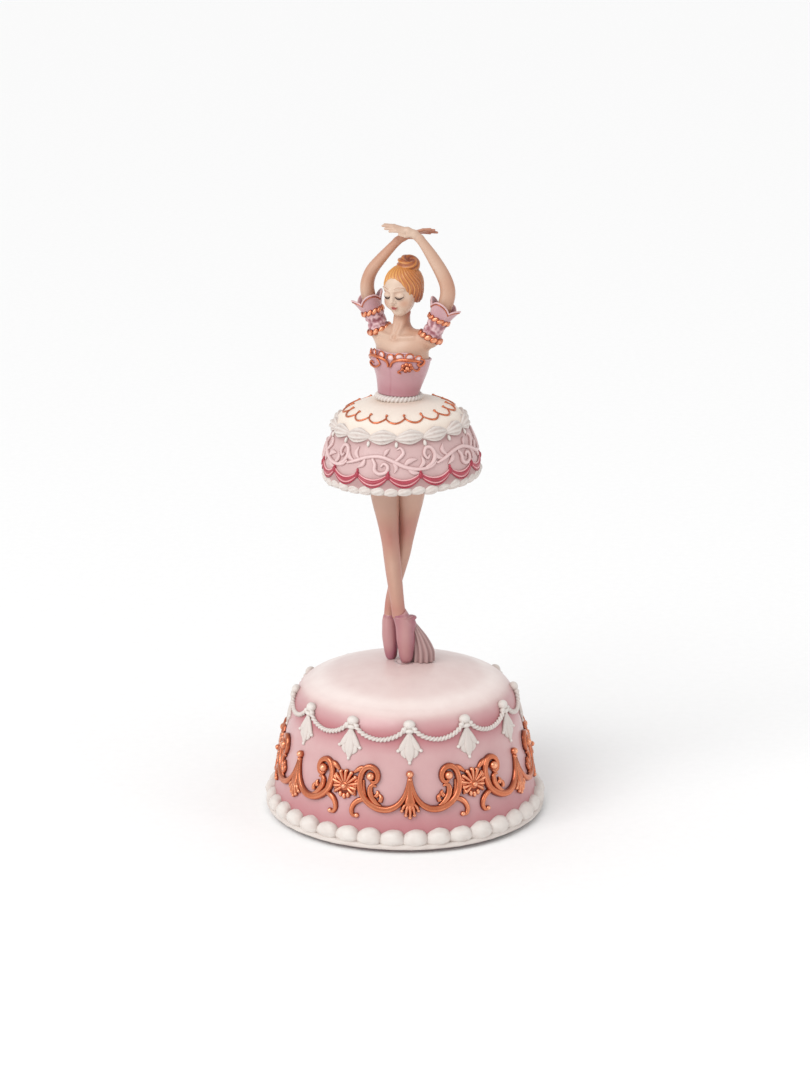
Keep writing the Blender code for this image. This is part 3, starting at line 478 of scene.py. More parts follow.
class Wall:
    """A surface of revolution that relief is laid on. Places on it are (angle in degrees, z)."""

    def __init__(self, radius_at, centre=(0.0, 0.0), matrix=None):
        self.radius_at, self.centre, self.matrix = radius_at, centre, matrix

    def frame(self, angle, z):
        """A point on the wall with its directions: round, up along the wall, and out."""
        t = math.radians(angle)
        r = self.radius_at(z)
        slope = (self.radius_at(z + 0.2) - self.radius_at(z - 0.2)) / 0.4
        radial, round_it = bearing(t)
        up = radial * slope + np.array((0, 0, 1.0))
        up /= np.linalg.norm(up)
        point = radial * r + np.array((*self.centre, z))
        return point, round_it, up, np.cross(round_it, up), r

    def stroke(self, shape, path, widths, height, count=28, groove=0.0, lift=0.0, section=9):
        """A ridge through (angle, z) points, of these widths, standing this high above the wall."""
        path = spline(path, count)
        widths = spline(np.asarray(widths, float)[:, None], count)[:, 0].clip(0.05)
        frames = [self.frame(a, z) for a, z in path]
        middle = np.array([f[0] for f in frames])
        out = np.array([f[3] for f in frames])
        ahead = np.gradient(middle, axis=0)
        side = np.cross(out, ahead)
        side /= np.linalg.norm(side, axis=1, keepdims=True) + 1e-12
        s = np.cos(np.linspace(0, math.pi, section))
        rise = np.sqrt(1 - s**2) - groove * bell(s, 0, 0.35)
        rows, tones = [], []
        tallest = max(widths)
        for i in range(count):
            tall = height * (0.45 + 0.55 * widths[i] / tallest)
            top = middle[i] + side[i] * (s * widths[i] / 2)[:, None] + out[i] * (lift + rise * tall)[:, None]
            under = middle[i] + side[i] * (s[::-1] * widths[i] / 2.6)[:, None] - out[i] * 0.35
            rows.append(np.vstack([top, under]))
            # painted highlight along the ridge's top, painted shade down its sides and on its underside round
            # the relief
            tones.append(np.append(1 - rise.clip(0, 1) * 0.85, np.ones(section)))
        shape.loft(rows, tones)

    def ball(self, shape, angle, z, half, lift=0.0, sides=14, tone=None):
        point, round_it, up, out, _ = self.frame(angle, z)
        turn = np.stack([round_it, up, out], -1)
        # by default, a painted highlight on the ball's outer face and painted shade on its side towards the
        # wall
        shade = tone if tone is not None else (lambda ball: 0.55 - 0.55 * ball[..., 2].clip(-1, 1))
        ellipsoid(shape, point + out * lift, half, turn, sides, shade)

    def mm(self, z):
        """Degrees round the wall in one millimetre at this height."""
        return math.degrees(1 / self.radius_at(z))


def wall_radius(z):
    share = (z - WALL_FOOT[1]) / (RIM[1] - WALL_FOOT[1])
    flat = WALL_FOOT[0] + share * (RIM[0] - WALL_FOOT[0])
    if z <= RIM[1]:
        return flat
    return RIM[0] - (z - RIM[1]) ** 2 / 16


CAKE = Wall(wall_radius)


SKIRT_CURVE = spline(SKIRT_PROFILE, 90)


def skirt_radius(z):
    return float(np.interp(-z, -SKIRT_CURVE[:, 1], SKIRT_CURVE[:, 0]))


SKIRT = Wall(skirt_radius, (SKIRT_CENTRE[0], SKIRT_CENTRE[1]))
TILT = Matrix.Translation(SKIRT_CENTRE) @ Matrix.Rotation(SKIRT_TILT, 4, "Y")
TILT = TILT @ Matrix.Translation(-Vector(SKIRT_CENTRE))


# ---------------------------------------------------------------- base


def dome_z(radius, drop=0.0):
    """Height of the dome, or of a surface this far inside it."""
    return DOME_TOP - DOME_CURVE + math.sqrt((DOME_CURVE - drop) ** 2 - radius**2)


def make_cake():
    shape = Shape()
    # the dome, its soft shoulder and the wall, as one curve
    knots = [(39.4, dome_z(39.4)), (42.0, 56.0), (44.4, 53.9), (46.3, 51.2), (47.7, 47.6), (49.1, 42.0),
             (51.3, 32.0)]
    outside = [(r, dome_z(r)) for r in np.linspace(3.8, 37.5, 24)]
    outside += [tuple(p) for p in spline(knots, 46)]
    outside += [(wall_radius(z), z) for z in np.linspace(30.5, WALL_FOOT[1], 26)]
    outside += [(57.2, 2.2), (56.5, 1.8)]
    inside = [
        (RECESS_RADIUS, 1.8), (RECESS_RADIUS, 12.0), (45.0, 12.0), (45.0, 15.0), (50.6, 15.0), (43.8, 47.0),
    ]
    inside += [(r, dome_z(r, DOME_THICKNESS)) for r in (39.0, 28.0, 16.0, 3.8)]

    def tone(radius, z):
        middle = 0.18 + 0.07 * bell(radius, 0, 12)
        # painted highlight in a band just inside the dome's edge
        edge = -0.17 * bell(radius, 37.5, 4.5)
        over = 0.37 / (1 + math.exp((z - 54.0) / 0.7))
        # painted shadow under the rim and its garlands
        rim_shadow = 0.42 * bell(z, 46.8, 4.2)
        foot = 0.4 * bell(z, 6, 11)
        return float(np.clip(middle + edge + over + rim_shadow + foot, 0, 1))

    def wobble(angles, radius, z):
        return 0.06 * np.sin(3 * angles + z * 0.11) + 0.04 * np.sin(7 * angles - z * 0.23)

    rows, tones = turned((outside + inside)[::-1], 160, tone, wobble)
    shape.loft(rows, tones, ring=True)
    shape.make("cake_body", PEARL_PINK, "base", "base_pink", ["cake_shell"])


def piped_bead(shape, centre, turn, half, lean, ridges=0, tail=0.35):
    """A blob of piped icing that leans round the ring, thin at its tail, which the next one covers."""
    c, s = math.cos(lean), math.sin(lean)

    def bend(ball):
        x, y, z = ball[..., 0], ball[..., 1], ball[..., 2]
        around = np.arctan2(z, y)
        swell = 1 - tail * (0.5 - 0.5 * x)
        groove = 1 + 0.09 * np.cos(ridges * around) * (1 - x**2) if ridges else 1.0
        y, z = y * swell * groove, z * swell * groove
        return np.stack([x * c - z * s, y, x * s + z * c], -1)

    def tone(ball):
        x, y, z = ball[..., 0], ball[..., 1], ball[..., 2]
        shade = 0.1 + 0.3 * (0.5 - 0.5 * y) ** 2 + 0.75 * np.abs(x) ** 5
        if ridges:
            shade = shade + 0.4 * (0.5 - 0.5 * np.cos(ridges * np.arctan2(z, y))) * (1 - x**2)
        return shade.clip(0, 1)

    ellipsoid(shape, centre, half, turn, 26, tone, bend)


def make_border():
    shape = Shape()
    for k in range(BORDER_BEADS):
        angle = 360 * k / BORDER_BEADS + 4
        t = math.radians(angle)
        out, round_it = bearing(t)
        turn = np.stack([round_it, out, (0, 0, 1)], -1)
        grow = 1 + 0.05 * math.sin(k * 2.4) + 0.03 * math.sin(k * 5.1)
        piped_bead(shape, out * 56.4 + (0, 0, 5.5), turn, (6.0, 4.5 * grow, 4.5 * grow), 0.34, tail=0.3)
    foot_ring = [(56.8, 1.5), (59.0, 1.5), (59.8, 2.0), (59.9, 2.9), (59.0, 3.6), (56.8, 3.9)]
    rows, tones = turned(foot_ring, 128, lambda r, z: 0.3)
    shape.loft(rows, tones, ring=True)
    roughen(shape, 0.26, 2.4)
    for points in shape.points[:-1]:
        points[:, 2] = points[:, 2].clip(BEAD_FLAT, None)
    shape.make("piped_border", ICING, "base", "icing_white", ["base_border"])


def make_swags():
    garlands, leaves = Shape(), Shape()
    for k in range(SWAGS):
        head = SWAG_TURN + 30 * k
        path = []
        for t in np.linspace(0, 1, 120):
            z = 51.2 - 5.2 * (1 - (2 * t - 1) ** 2) ** 0.85
            point, _, _, out, _ = CAKE.frame(head + 1.6 + 26.8 * t, z)
            path.append(point + out * 0.35)

        def strands(angles, t):
            return 0.26 * np.cos(2 * angles + GARLAND_TWIST * t)

        tube(garlands, path, 0.88, 12, cord_tones(120, 12, GARLAND_TWIST), strands)
        CAKE.ball(garlands, head, 52.2, (2.6, 2.1, 2.0), 0.2, 18)
        CAKE.ball(garlands, head, 49.8, (2.1, 1.1, 1.4), 0.2, 14)
        for side in (-1, 1):
            CAKE.ball(garlands, head + side * 2.7, 50.5, (1.2, 1.0, 1.2), 0.3, 12)
        mm = CAKE.mm(43)
        path = [(head, z) for z in (49.4, 46.4, 43.4, 40.8, 38.6, 37.0)]
        CAKE.stroke(leaves, path, [1.6, 3.0, 4.6, 5.0, 3.0, 0.9], 1.5, 28, 0.25)
        CAKE.ball(leaves, head, 36.9, (0.75, 0.9, 0.75), 0.3, 10)
        for side in (-1, 1):
            outer = ((0.5, 48.6), (1.6, 45.8), (3.0, 43.2), (4.5, 41.9))
            path = [(head + side * x * mm, z) for x, z in outer]
            CAKE.stroke(leaves, path, [1.2, 2.6, 2.9, 1.2], 1.15, 22, 0.2)
            CAKE.ball(leaves, head + side * 4.7 * mm, 41.8, (0.85, 0.8, 0.8), 0.3, 10)
            path = [(head + side * x * mm, z) for x, z in ((1.4, 43.6), (2.6, 41.0), (1.7, 38.9))]
            CAKE.stroke(leaves, path, [1.5, 2.6, 0.8], 1.0, 16, 0.2)
    garlands.make("garland_swags", ICING, "base", "icing_white")
    leaves.make("garland_leaves", ICING, "base", "icing_white")


def scroll_half(shape, middle, side):
    """One side of a scroll: the arc from the finial, its volute, the inner leaf and the small curl."""

    def turn(points):
        return [(middle + side * a, z) for a, z in points]

    arc = [(0.55, 31.0), (1.1, 27.4), (2.4, 23.4), (5.0, 20.0), (8.2, 18.1), (11.4, 17.6), (15.0, 18.2),
           (18.8, 20.2), (21.7, 23.3), (22.9, 27.2), (22.5, 31.0), (20.9, 33.7), (18.4, 34.6), (15.9, 33.6),
           (14.7, 31.2), (15.3, 28.9), (17.0, 28.4), (18.3, 29.6)]
    widths = [1.0, 1.5, 2.2, 2.7, 3.0, 3.2, 3.2, 3.1, 3.0, 2.9, 2.9, 2.9, 2.8, 2.7, 2.5, 2.2, 1.8, 1.3]
    CAKE.stroke(shape, turn(arc), widths, 2.6, 120, 0.28)
    CAKE.ball(shape, middle + side * 17.9, 30.9, (1.9, 1.9, 2.2), 1.2, 18)
    inner = [(12.4, 18.4), (15.4, 20.4), (17.6, 23.2), (18.0, 25.9), (16.9, 27.2), (15.2, 26.8)]
    CAKE.stroke(shape, turn(inner), [1.4, 2.5, 2.9, 2.6, 2.0, 1.0], 2.0, 40, 0.22)
    for barb in (((13.2, 20.6), (12.8, 22.4), (13.8, 23.9)), ((15.2, 22.6), (14.4, 24.0), (14.9, 25.2))):
        CAKE.stroke(shape, turn(barb), [2.2, 2.1, 0.7], 1.8, 16, 0.15)
    fill = [(16.4, 18.4), (19.8, 21.4), (21.4, 25.4), (21.2, 29.0)]
    CAKE.stroke(shape, turn(fill), [1.2, 2.4, 2.5, 1.0], 1.6, 26, 0.25)
    curl = [(20.0, 21.2), (23.0, 20.4), (25.2, 18.6), (26.1, 16.1), (25.3, 14.2), (23.8, 13.9)]
    CAKE.stroke(shape, turn(curl), [1.6, 2.6, 2.5, 2.2, 1.9, 1.4], 1.9, 36, 0.2)
    CAKE.ball(shape, middle + side * 23.5, 14.2, (1.15, 1.15, 1.2), 0.5, 12)
    link = [(22.6, 29.4), (24.6, 27.6), (25.6, 24.8), (24.9, 22.0)]
    CAKE.stroke(shape, turn(link), [2.2, 2.9, 2.5, 1.2], 1.9, 24, 0.22)
    rim = [(20.0, 34.0), (23.4, 33.4), (26.2, 31.6)]
    CAKE.stroke(shape, turn(rim), [1.9, 2.6, 1.4], 1.8, 18, 0.2)


def make_scrollwork():
    shape = Shape()
    for k in range(SCROLLS):
        middle = SWAG_TURN + 60 * k
        for side in (-1, 1):
            scroll_half(shape, middle, side)
        mm = CAKE.mm(22)
        # finial: a stem that widens into a drop of petals
        stem = [(middle, z) for z in (32.4, 28, 24, 20.6, 17.6)]
        CAKE.stroke(shape, stem, [1.6, 2.2, 3.4, 5.2, 2.6], 2.7, 34, 0.3)
        CAKE.ball(shape, middle, 32.3, (1.7, 1.6, 1.9), 0.8, 16)
        CAKE.ball(shape, middle, 30.2, (1.25, 0.6, 1.5), 0.6, 12)
        for lean, low in ((0, 14.6), (-1.7, 15.6), (1.7, 15.6), (-3.3, 17.4), (3.3, 17.4)):
            stops = ((0.4, 20.6), (0.8, (20.6 + low) / 2), (1, low))
            path = [(middle + share * lean * mm, z) for share, z in stops]
            CAKE.stroke(shape, path, [1.0, 1.9, 1.3], 2.2, 18)
            CAKE.ball(shape, middle + lean * mm, low, (0.9, 0.95, 1.1), 0.6, 12)
        # rosette: a fan of petals round a bead
        flower, mm = middle + 30, CAKE.mm(27)
        # a dark flat disc behind the petals: painted shade in the gaps between them
        CAKE.ball(shape, flower, 25.6, (5.0, 4.8, 1.3), 0.0, 24, 0.85)
        for j in range(11):
            t = math.radians(-125 + 25 * j)
            x, z = math.sin(t), math.cos(t)
            far = 1.0 if abs(j - 5) < 4 else 0.8
            stops = ((1.0, 1.0), (3.4 * far, 3.5 * far), (5.8 * far, 5.9 * far))
            path = [(flower + wide * x * mm, 25.8 + tall * z) for wide, tall in stops]
            CAKE.stroke(shape, path, [0.9, 1.8, 2.1], 2.0, 16, 0.0, 0.3)
            CAKE.ball(shape, flower + 5.7 * far * x * mm, 25.8 + 5.8 * far * z, (1.05, 1.05, 1.2), 0.8, 12)
        CAKE.ball(shape, flower, 25.6, (2.3, 2.2, 1.4), 1.0, 16, 0.4)
        CAKE.ball(shape, flower, 25.6, (1.3, 1.25, 1.3), 2.0, 14)
        for lean in (-1.7, 0, 1.7):
            CAKE.ball(shape, flower + lean * mm, 21.4 + 0.4 * abs(lean), (1.0, 1.5, 1.3), 0.6, 12)
    shape.make("copper_scrollwork", COPPER, "base", "copper_trim", ["scroll_band"])


# ---------------------------------------------------------------- skirt


def make_skirt():
    white, pink = Shape(), Shape()
    curve = SKIRT_CURVE
    top = [(r, z) for r, z in curve if z >= WHITE_EDGE_Z - 0.6]
    side = [(r, z) for r, z in curve if z <= WHITE_EDGE_Z]
    centre = Matrix.Translation((SKIRT_CENTRE[0], SKIRT_CENTRE[1], 0))

    def ripple(angles, radius, z):
        return 0.05 * np.sin(5 * angles + z) + 0.04 * np.sin(11 * angles)

    def top_tone(radius, z):
        # painted shade round the foot of the waist cord and towards the shells at the edge
        return 0.1 + 0.45 * bell(radius, 9, 3) + 0.3 * max(0, radius - 24) / 3

    profile = [(0.02, 176.0), (20.0, 173.5), (24.0, 170.4)] + top[::-1] + [(0.02, 180.5)]
    rows, tones = turned(profile, 128, top_tone, ripple)
    white.loft(rows, tones)
    inner = [(23.6, 170.0), (26.6, 164.8), (28.4, 160.2), (29.8, 154.6), (30.4, 149.2)]
    body = [(0.02, 173.0), (19.0, 171.8)] + inner + [(31.4, 148.2)] + side[::-1]
    body += [(24.0, 171.4), (0.02, 173.6)]

    def tone(radius, z):
        # painted shade on the skirt's inner and under faces, under the shell ring and above the hem
        if z > 170.2 or radius < skirt_radius(z) - 1.4:
            return 0.75
        return 0.3 + 0.35 * bell(z, 168.6, 1.6) + 0.3 * bell(z, 152, 2.5)

    rows, tones = turned(body, 128, tone, ripple)
    pink.loft(rows, tones)
    white.moved(centre).moved(TILT).make("skirt_icing", CREAM, "dancer", "icing_white")
    pink.moved(centre).moved(TILT).make("skirt_side", SKIRT_PINK, "dancer", "base_pink", ["cake_skirt"])


def make_top_scallops():
    """Copper thread in scallops on the skirt's top, with small curls at the cusps."""
    shape = Shape()
    count = 17
    step = math.tau / count

    def on_top(angle, radius, lift=0.25):
        z = float(np.interp(radius, SKIRT_CURVE[:, 0], SKIRT_CURVE[:, 1])) + lift
        return (SKIRT_CENTRE[0] + radius * math.sin(angle), -radius * math.cos(angle), z)

    for k in range(count):
        start = step * (k + 0.3)
        path, radii = [], []
        for t in np.linspace(0, 1, 26):
            path.append(on_top(start + step * (t * 1.02 - 0.01), 20.9 + 2.7 * math.sin(math.pi * t) ** 0.7))
            radii.append(0.31 + 0.13 * math.sin(math.pi * t))
        curl = []
        for u in (0.3, 0.6, 0.9):
            curl.append(on_top(start + step * (1.01 - 0.05 * math.sin(2.6 * u)), 20.9 - 1.5 * u, 0.3))
        tube(shape, path + curl, radii + [0.33, 0.35, 0.4], 8, 0.35)
        ellipsoid(shape, on_top(start + step * 0.985, 19.5, 0.35), (0.62, 0.62, 0.5), None, 10, 0.3)
    shape.moved(TILT).make("top_scallops", COPPER, "dancer", "copper_trim")


def make_shell_ring():
    """Fluted leaf shapes of white icing round the shoulder of the skirt, with a drop between each two."""
    shape = Shape()
    count = 15
    for k in range(count):
        angle = 360 * (k + 0.5) / count - 3
        t = math.radians(angle)
        away, round_it = bearing(t)
        out = 0.82 * away + (0, 0, 0.57)
        up = np.cross(round_it, out)
        turn = np.stack([round_it, out, -up], -1)
        point = 26.7 * away + (SKIRT_CENTRE[0], 0, 170.4)

        def flute(ball):
            x, y, z = ball[..., 0], ball[..., 1], ball[..., 2]
            around = np.arctan2(z, y)
            grow = 1 + 0.14 * np.cos(9 * around) * (1 - x**2)
            pointed = 1 - 0.42 * np.abs(x) ** 1.8
            return np.stack([1.06 * x, y * grow * pointed - 0.22 * x**2, z * grow * pointed + 0.12 * x], -1)

        def shade(ball):
            around = np.arctan2(ball[..., 2], ball[..., 1])
            grooves = 0.5 * (0.5 - 0.5 * np.cos(9 * around)) * (1 - ball[..., 0] ** 2) ** 0.5
            return (0.15 + grooves + 0.3 * np.abs(ball[..., 0]) ** 6).clip(0, 1)

        ellipsoid(shape, point, (6.1, 2.5, 3.1), turn, 44, shade, flute)
        drop = angle + 180 / count
        SKIRT.ball(shape, drop, 167.6, (0.75, 1.3, 0.7), 0.3, 12)
    roughen(shape, 0.04, 1.0)
    shape.moved(TILT).make("shell_ring", ICING, "dancer", "icing_white", ["shell_piping"])


def make_vine():
    """A scrolling vine in low relief, in the colour of the skirt's side."""
    shape = Shape()
    for k in range(5):
        m = 72 * k - 10

        def at(points):
            return [(m + a, z + 0.9 - 0.08 * (z - 156)) for a, z in points]

        stem = [(-34, 158.6), (-26, 160.2), (-16, 162.2), (-5, 162.6), (5, 160.6), (14, 158.2), (24, 157.0),
                (33, 157.6), (38, 159.6)]
        SKIRT.stroke(shape, at(stem), [1.1, 1.7, 1.8, 1.9, 2.0, 2.0, 1.8, 1.5, 1.0], 1.1, 64)
        spiral_up = [(29, 157.4), (35, 159.4), (37.5, 162.6), (35.2, 165.4), (31.0, 165.6), (29.0, 163.2),
                     (31.0, 161.2), (33.4, 162.4)]
        SKIRT.stroke(shape, at(spiral_up), [1.4, 1.9, 2.0, 1.9, 1.7, 1.5, 1.3, 1.0], 1.1, 46)
        spiral_low = [(-12, 161.8), (-9.6, 159.4), (-9.6, 156.9), (-6, 155.4), (-1.0, 156.2), (0.4, 158.6),
                      (-2.6, 159.8), (-5.0, 158.4)]
        SKIRT.stroke(shape, at(spiral_low), [1.2, 1.8, 2.0, 1.9, 1.8, 1.7, 1.4, 1.0], 1.1, 48)
        tendril = [(5, 160.4), (9, 162.0), (12.5, 164.2), (10.4, 166.2), (7.2, 165.6)]
        SKIRT.stroke(shape, at(tendril), [1.1, 1.7, 1.7, 1.3, 0.7], 0.95, 30)
        for start, bend, end, width in (
            ((-23, 160.8), (-27, 163.4), (-25, 166.2), 2.3),
            ((-28, 160.0), (-33.5, 161.8), (-34.5, 165.4), 2.5),
            ((-18, 161.8), (-19.5, 159.2), (-24.5, 157.2), 2.4), ((12, 158.6), (17, 160.8), (23, 161.4), 2.5),
            ((15, 157.8), (19, 155.8), (25, 155.2), 2.2), ((23, 157.0), (27.5, 159.6), (26.5, 162.4), 2.0),
            ((4, 160.4), (6.6, 158.2), (5.2, 155.8), 2.0), ((-3, 162.6), (-1.0, 164.8), (1.6, 166.0), 2.0),
        ):
            SKIRT.stroke(shape, at([start, bend, end]), [0.7, width, 0.4], 0.95, 22, 0.15)
    # the vine's painted highlights and shade, kept to the lighter end of the ramp
    shape.tones = [0.62 * t for t in shape.tones]
    shape.moved(TILT).make("skirt_vine", SKIRT_PINK, "dancer", "base_pink")


def make_crimson_scallops():
    shape = Shape()
    bands = (
        # how far below the scallop's line, width, tone, lift off the skirt
        # the first, pale band is a painted highlight along the top of the crimson ribbon
        (0.55, 0.7, 0.0, 0.35), (-0.45, 1.4, 0.85, 0.35), (-1.55, 0.9, 0.1, 0.25), (-2.45, 0.75, 0.95, 0.25),
    )
    count = 15
    for k in range(count):
        start, step = 24 * k - 9.5, 24.0
        for drop, width, tone, lift in bands:
            path, radii = [], []
            for t in np.linspace(0, 1, 26):
                hang = math.sin(math.pi * t)
                z = 156.2 - 3.1 * hang**0.75 + drop * (0.5 + 0.5 * hang)
                point, _, _, out, _ = SKIRT.frame(start + step * t, z)
                path.append(point + out * lift)
                radii.append(width / 2 * (0.7 + 0.3 * hang))
            tube(shape, path, radii, 9, tone)
        SKIRT.ball(shape, start, 155.3, (1.05, 1.5, 1.0), 0.35, 12, 0.95)
        SKIRT.ball(shape, start, 157.0, (0.55, 0.9, 0.6), 0.3, 10, 0.8)
    shape.moved(TILT).make("crimson_scallops", CRIMSON, "dancer", "rose_resin")


def make_hem():
    shape = Shape()
    count = 36
    for k in range(count):
        t = math.tau * (k + 0.2) / count
        out, round_it = bearing(t)
        turn = np.stack([round_it, out, (0, 0, 1.0)], -1)
        grow = 1 + 0.08 * math.sin(3.7 * k)
        centre = out * 31.5 + (SKIRT_CENTRE[0], 0, 148.8 + 0.2 * math.sin(2.1 * k))
        piped_bead(shape, centre, turn, (3.7, 2.5 * grow, 2.5 * grow), 0.5, 8, 0.3)
    # a dark ring under the shells: painted shade in the creases between them
    edge = [(29.9, 147.6), (31.6, 147.4), (32.5, 148.8), (31.8, 150.2), (30.3, 150.2)]
    rows, tones = turned(edge, 96, lambda r, z: 0.75)
    shape.loft([row + (SKIRT_CENTRE[0], 0, 0) for row in rows], tones, ring=True)
    roughen(shape, 0.06, 1.1)
    shape.moved(TILT).make("hem_shells", ICING, "dancer", "icing_white", ["hem_piping"])


def make_waist():
    shape = Shape()
    path = oval(np.linspace(0, math.tau, 200), 8.7, 7.4, 0) + (-2.6, 0.0, 181.3)
    twists = 34

    def strands(angles, t):
        return 0.2 * np.cos(2 * angles + twists * math.tau * t)

    tube(shape, path, 1.25, 14, cord_tones(200, 14, twists * math.tau), strands)
    rows, tones = turned([(0.02, 180.3), (8.0, 180.3), (7.8, 182.6), (0.02, 182.7)], 48, lambda r, z: 0.5)
    shape.loft([row * (1, 0.85, 1) + np.array((-2.6, 0, 0)) for row in rows], tones)
    shape.make("waist_cord", ICING, "dancer", "icing_white", ["waist_band"])


# ---------------------------------------------------------------- legs and shoes

TOE_Z = 64.2  # the flat tips of the shoes, just inside the dome
RIGHT_LEG = (
    (84.8, -2.5, -1.7, 2.95, 2.8), (92.0, -3.3, -2.0, 2.95, 2.8), (98.0, -4.0, -2.2, 3.15, 3.1),
    (105.0, -4.8, -2.4, 3.4, 3.5), (112.0, -5.5, -2.4, 3.6, 3.8), (117.0, -6.0, -2.4, 3.7, 3.8),
    (122.0, -6.6, -2.3, 4.0, 4.1), (127.0, -7.3, -1.9, 4.4, 4.5), (138.0, -8.8, -1.0, 5.6, 5.6),
    (150.0, -9.7, -1.0, 6.4, 6.3), (172.8, -10.3, -1.0, 7.0, 7.0),
)
LEFT_LEG = (
    (81.0, -6.8, 5.0, 2.4, 2.4), (90.0, -6.0, 5.1, 2.4, 2.4), (97.0, -4.4, 4.8, 2.7, 2.8),
    (104.0, -2.8, 4.4, 3.2, 3.3), (111.0, -1.2, 3.8, 3.5, 3.6), (117.0, -0.1, 3.2, 3.6, 3.7),
    (122.0, 0.7, 2.7, 3.9, 4.0), (128.0, 1.6, 2.1, 4.4, 4.5), (138.0, 2.8, 1.2, 5.5, 5.4),
    (150.0, 3.7, 0.9, 6.2, 6.1), (172.8, 4.9, 0.5, 7.0, 7.0),
)


def make_leg(name, sections, knee, inner):
    """A leg through (z, x, y, half width, half depth) sections. Inner is 1 or -1, towards the other leg."""
    rows = spline(sections, 90)
    shape = Shape()
    angles = compass(48)
    rings, tones = [], []
    for z, x, y, wide, deep in rows:
        touch = 1.0 * np.clip((z - 122) / 16, 0, 1) * np.clip(inner * np.cos(angles), 0, 1) ** 2
        ring = oval(angles, wide, deep, z) + (x, y, 0)
        ring[:, 0] += inner * touch
        front = bell(angles, 1.5 * math.pi, 0.55)
        kneecap = 0.5 * bell(z, knee, 3.2) * front
        hollow = -0.25 * bell(z, knee + 6, 2.6) * front
        shin = 0.22 * bell(z, knee - 18, 12) * front**3
        back = bell(angles, 0.5 * math.pi, 0.9)
        calf = 0.9 * bell(z, knee - 13, 8) * back
        ring[:, 1] += calf - (kneecap + hollow + shin)
        rings.append(ring)
        rosy = 0.26 * bell(z, knee, 6.5) * (0.55 + 0.45 * front)
        ankle = 0.14 * bell(z, 88, 4)
        # painted highlight down the front of the shin
        light = -0.1 * front * bell(z, knee - 15, 9)
        # painted shade on the leg's sides, more where it meets the other leg
        edge = 0.1 * np.abs(np.cos(angles)) ** 3 + 0.06 * np.clip(inner * np.cos(angles), 0, 1)
        # painted light on the thighs, where the skirt's shadow falls, and slightly darker below the knee
        height = 0.06 * np.clip((118 - z) / 12, 0, 1) - 0.2 * np.clip((z - 128) / 14, 0, 1)
        tones.append((0.38 + rosy + ankle + light + edge + height).clip(0, 0.74))
    shape.loft(rings, tones)
    shape.make(name + "_skin", LEG_SKIN, "dancer", "skin_resin", [name])


def make_shoes():
    clay = Field((-9, -9, 63.0), (9, 6, 92), 0.2)
    foot = spline([(0.5, -1.0, 66.3, 2.7), (0.5, -1.1, 70.5, 3.35), (0.3, -1.2, 75.0, 3.9),
                   (-0.5, -1.4, 81.5, 3.6), (-2.3, -1.7, 86.4, 3.15)], 18)
    clay.chain([tuple(p) for p in foot], 0.4)
    clay.join(clay.ball((2.2, -0.7, 81.2), (2.6, 2.7, 3.2)), 1.4)
    clay.join(clay.ball((2.5, -0.8, 84.2), (2.5, 2.4, 1.15)), 0.5)
    clay.join(clay.cone((-1.6, -4.3, 84.9), (2.6, -2.6, 84.0), 0.45, 0.5), 0.4)
    clay.cut(clay.ball((-3.3, -2.6, 88.6), (3.3, 3.3, 2.9)), 0.5)
    clay.cut(clay.p[..., 2] - TOE_Z, 0.3)

    def front_tone(p):
        toe = bell(p[:, 2], 64.5, 4.0)
        right = rising(p[:, 0], 1.9, 1.6)
        left = rising(p[:, 0], -1.6, -1.8)
        rim = bell(p[:, 2], 86.0, 0.7)
        # painted shade low on the toe and on the left side, between the shoes; also darker on the right and
        # at the opening
        return (0.12 + 0.3 * toe + 0.5 * right * (1 - 0.6 * toe) + 0.35 * left + 0.3 * rim).clip(0, 1)

    made = clay.shape(front_tone)
    laces = Shape()
    rim = spline([(-4.9, -2.6, 85.6), (-3.2, -4.5, 85.0), (-0.9, -4.7, 84.7), (1.3, -4.0, 84.9),
                  (2.9, -2.4, 84.9), (3.4, -0.4, 84.6)], 30)
    tube(laces, rim, 0.3, 8, 0.25)
    merge(made, laces)
    made.make("right_pointe_shoe", SHOE, "dancer", "rose_resin", ["right_shoe"])
    clay = Field((-12, -1, 63.0), (-1, 11, 88), 0.2)
    foot = spline([(-5.9, 3.6, 66.2, 2.5), (-6.1, 3.9, 70.5, 3.05), (-6.3, 4.7, 75.5, 3.45),
                   (-6.5, 5.1, 82.4, 2.9)], 16)
    clay.chain([tuple(p) for p in foot], 0.4)
    clay.join(clay.ball((-6.9, 6.6, 80.0), (2.3, 2.4, 3.0)), 1.8)
    clay.join(clay.cone((-9.0, 4.2, 82.6), (-4.2, 3.0, 82.6), 0.4, 0.4), 0.4)
    clay.cut(clay.p[..., 2] - TOE_Z, 0.3)

    def back_tone(p):
        toe = bell(p[:, 2], 64.5, 5)
        right = rising(p[:, 0], -4.6, 1.6)
        rim = bell(p[:, 2], 83.4, 0.8)
        # painted shade low on the toe and on the right side, between the shoes; also darker at the opening
        return (0.22 + 0.45 * toe + 0.45 * right + 0.25 * rim).clip(0, 1)

    clay.shape(back_tone).make("left_pointe_shoe", SHOE, "dancer", "rose_resin", ["left_shoe"])


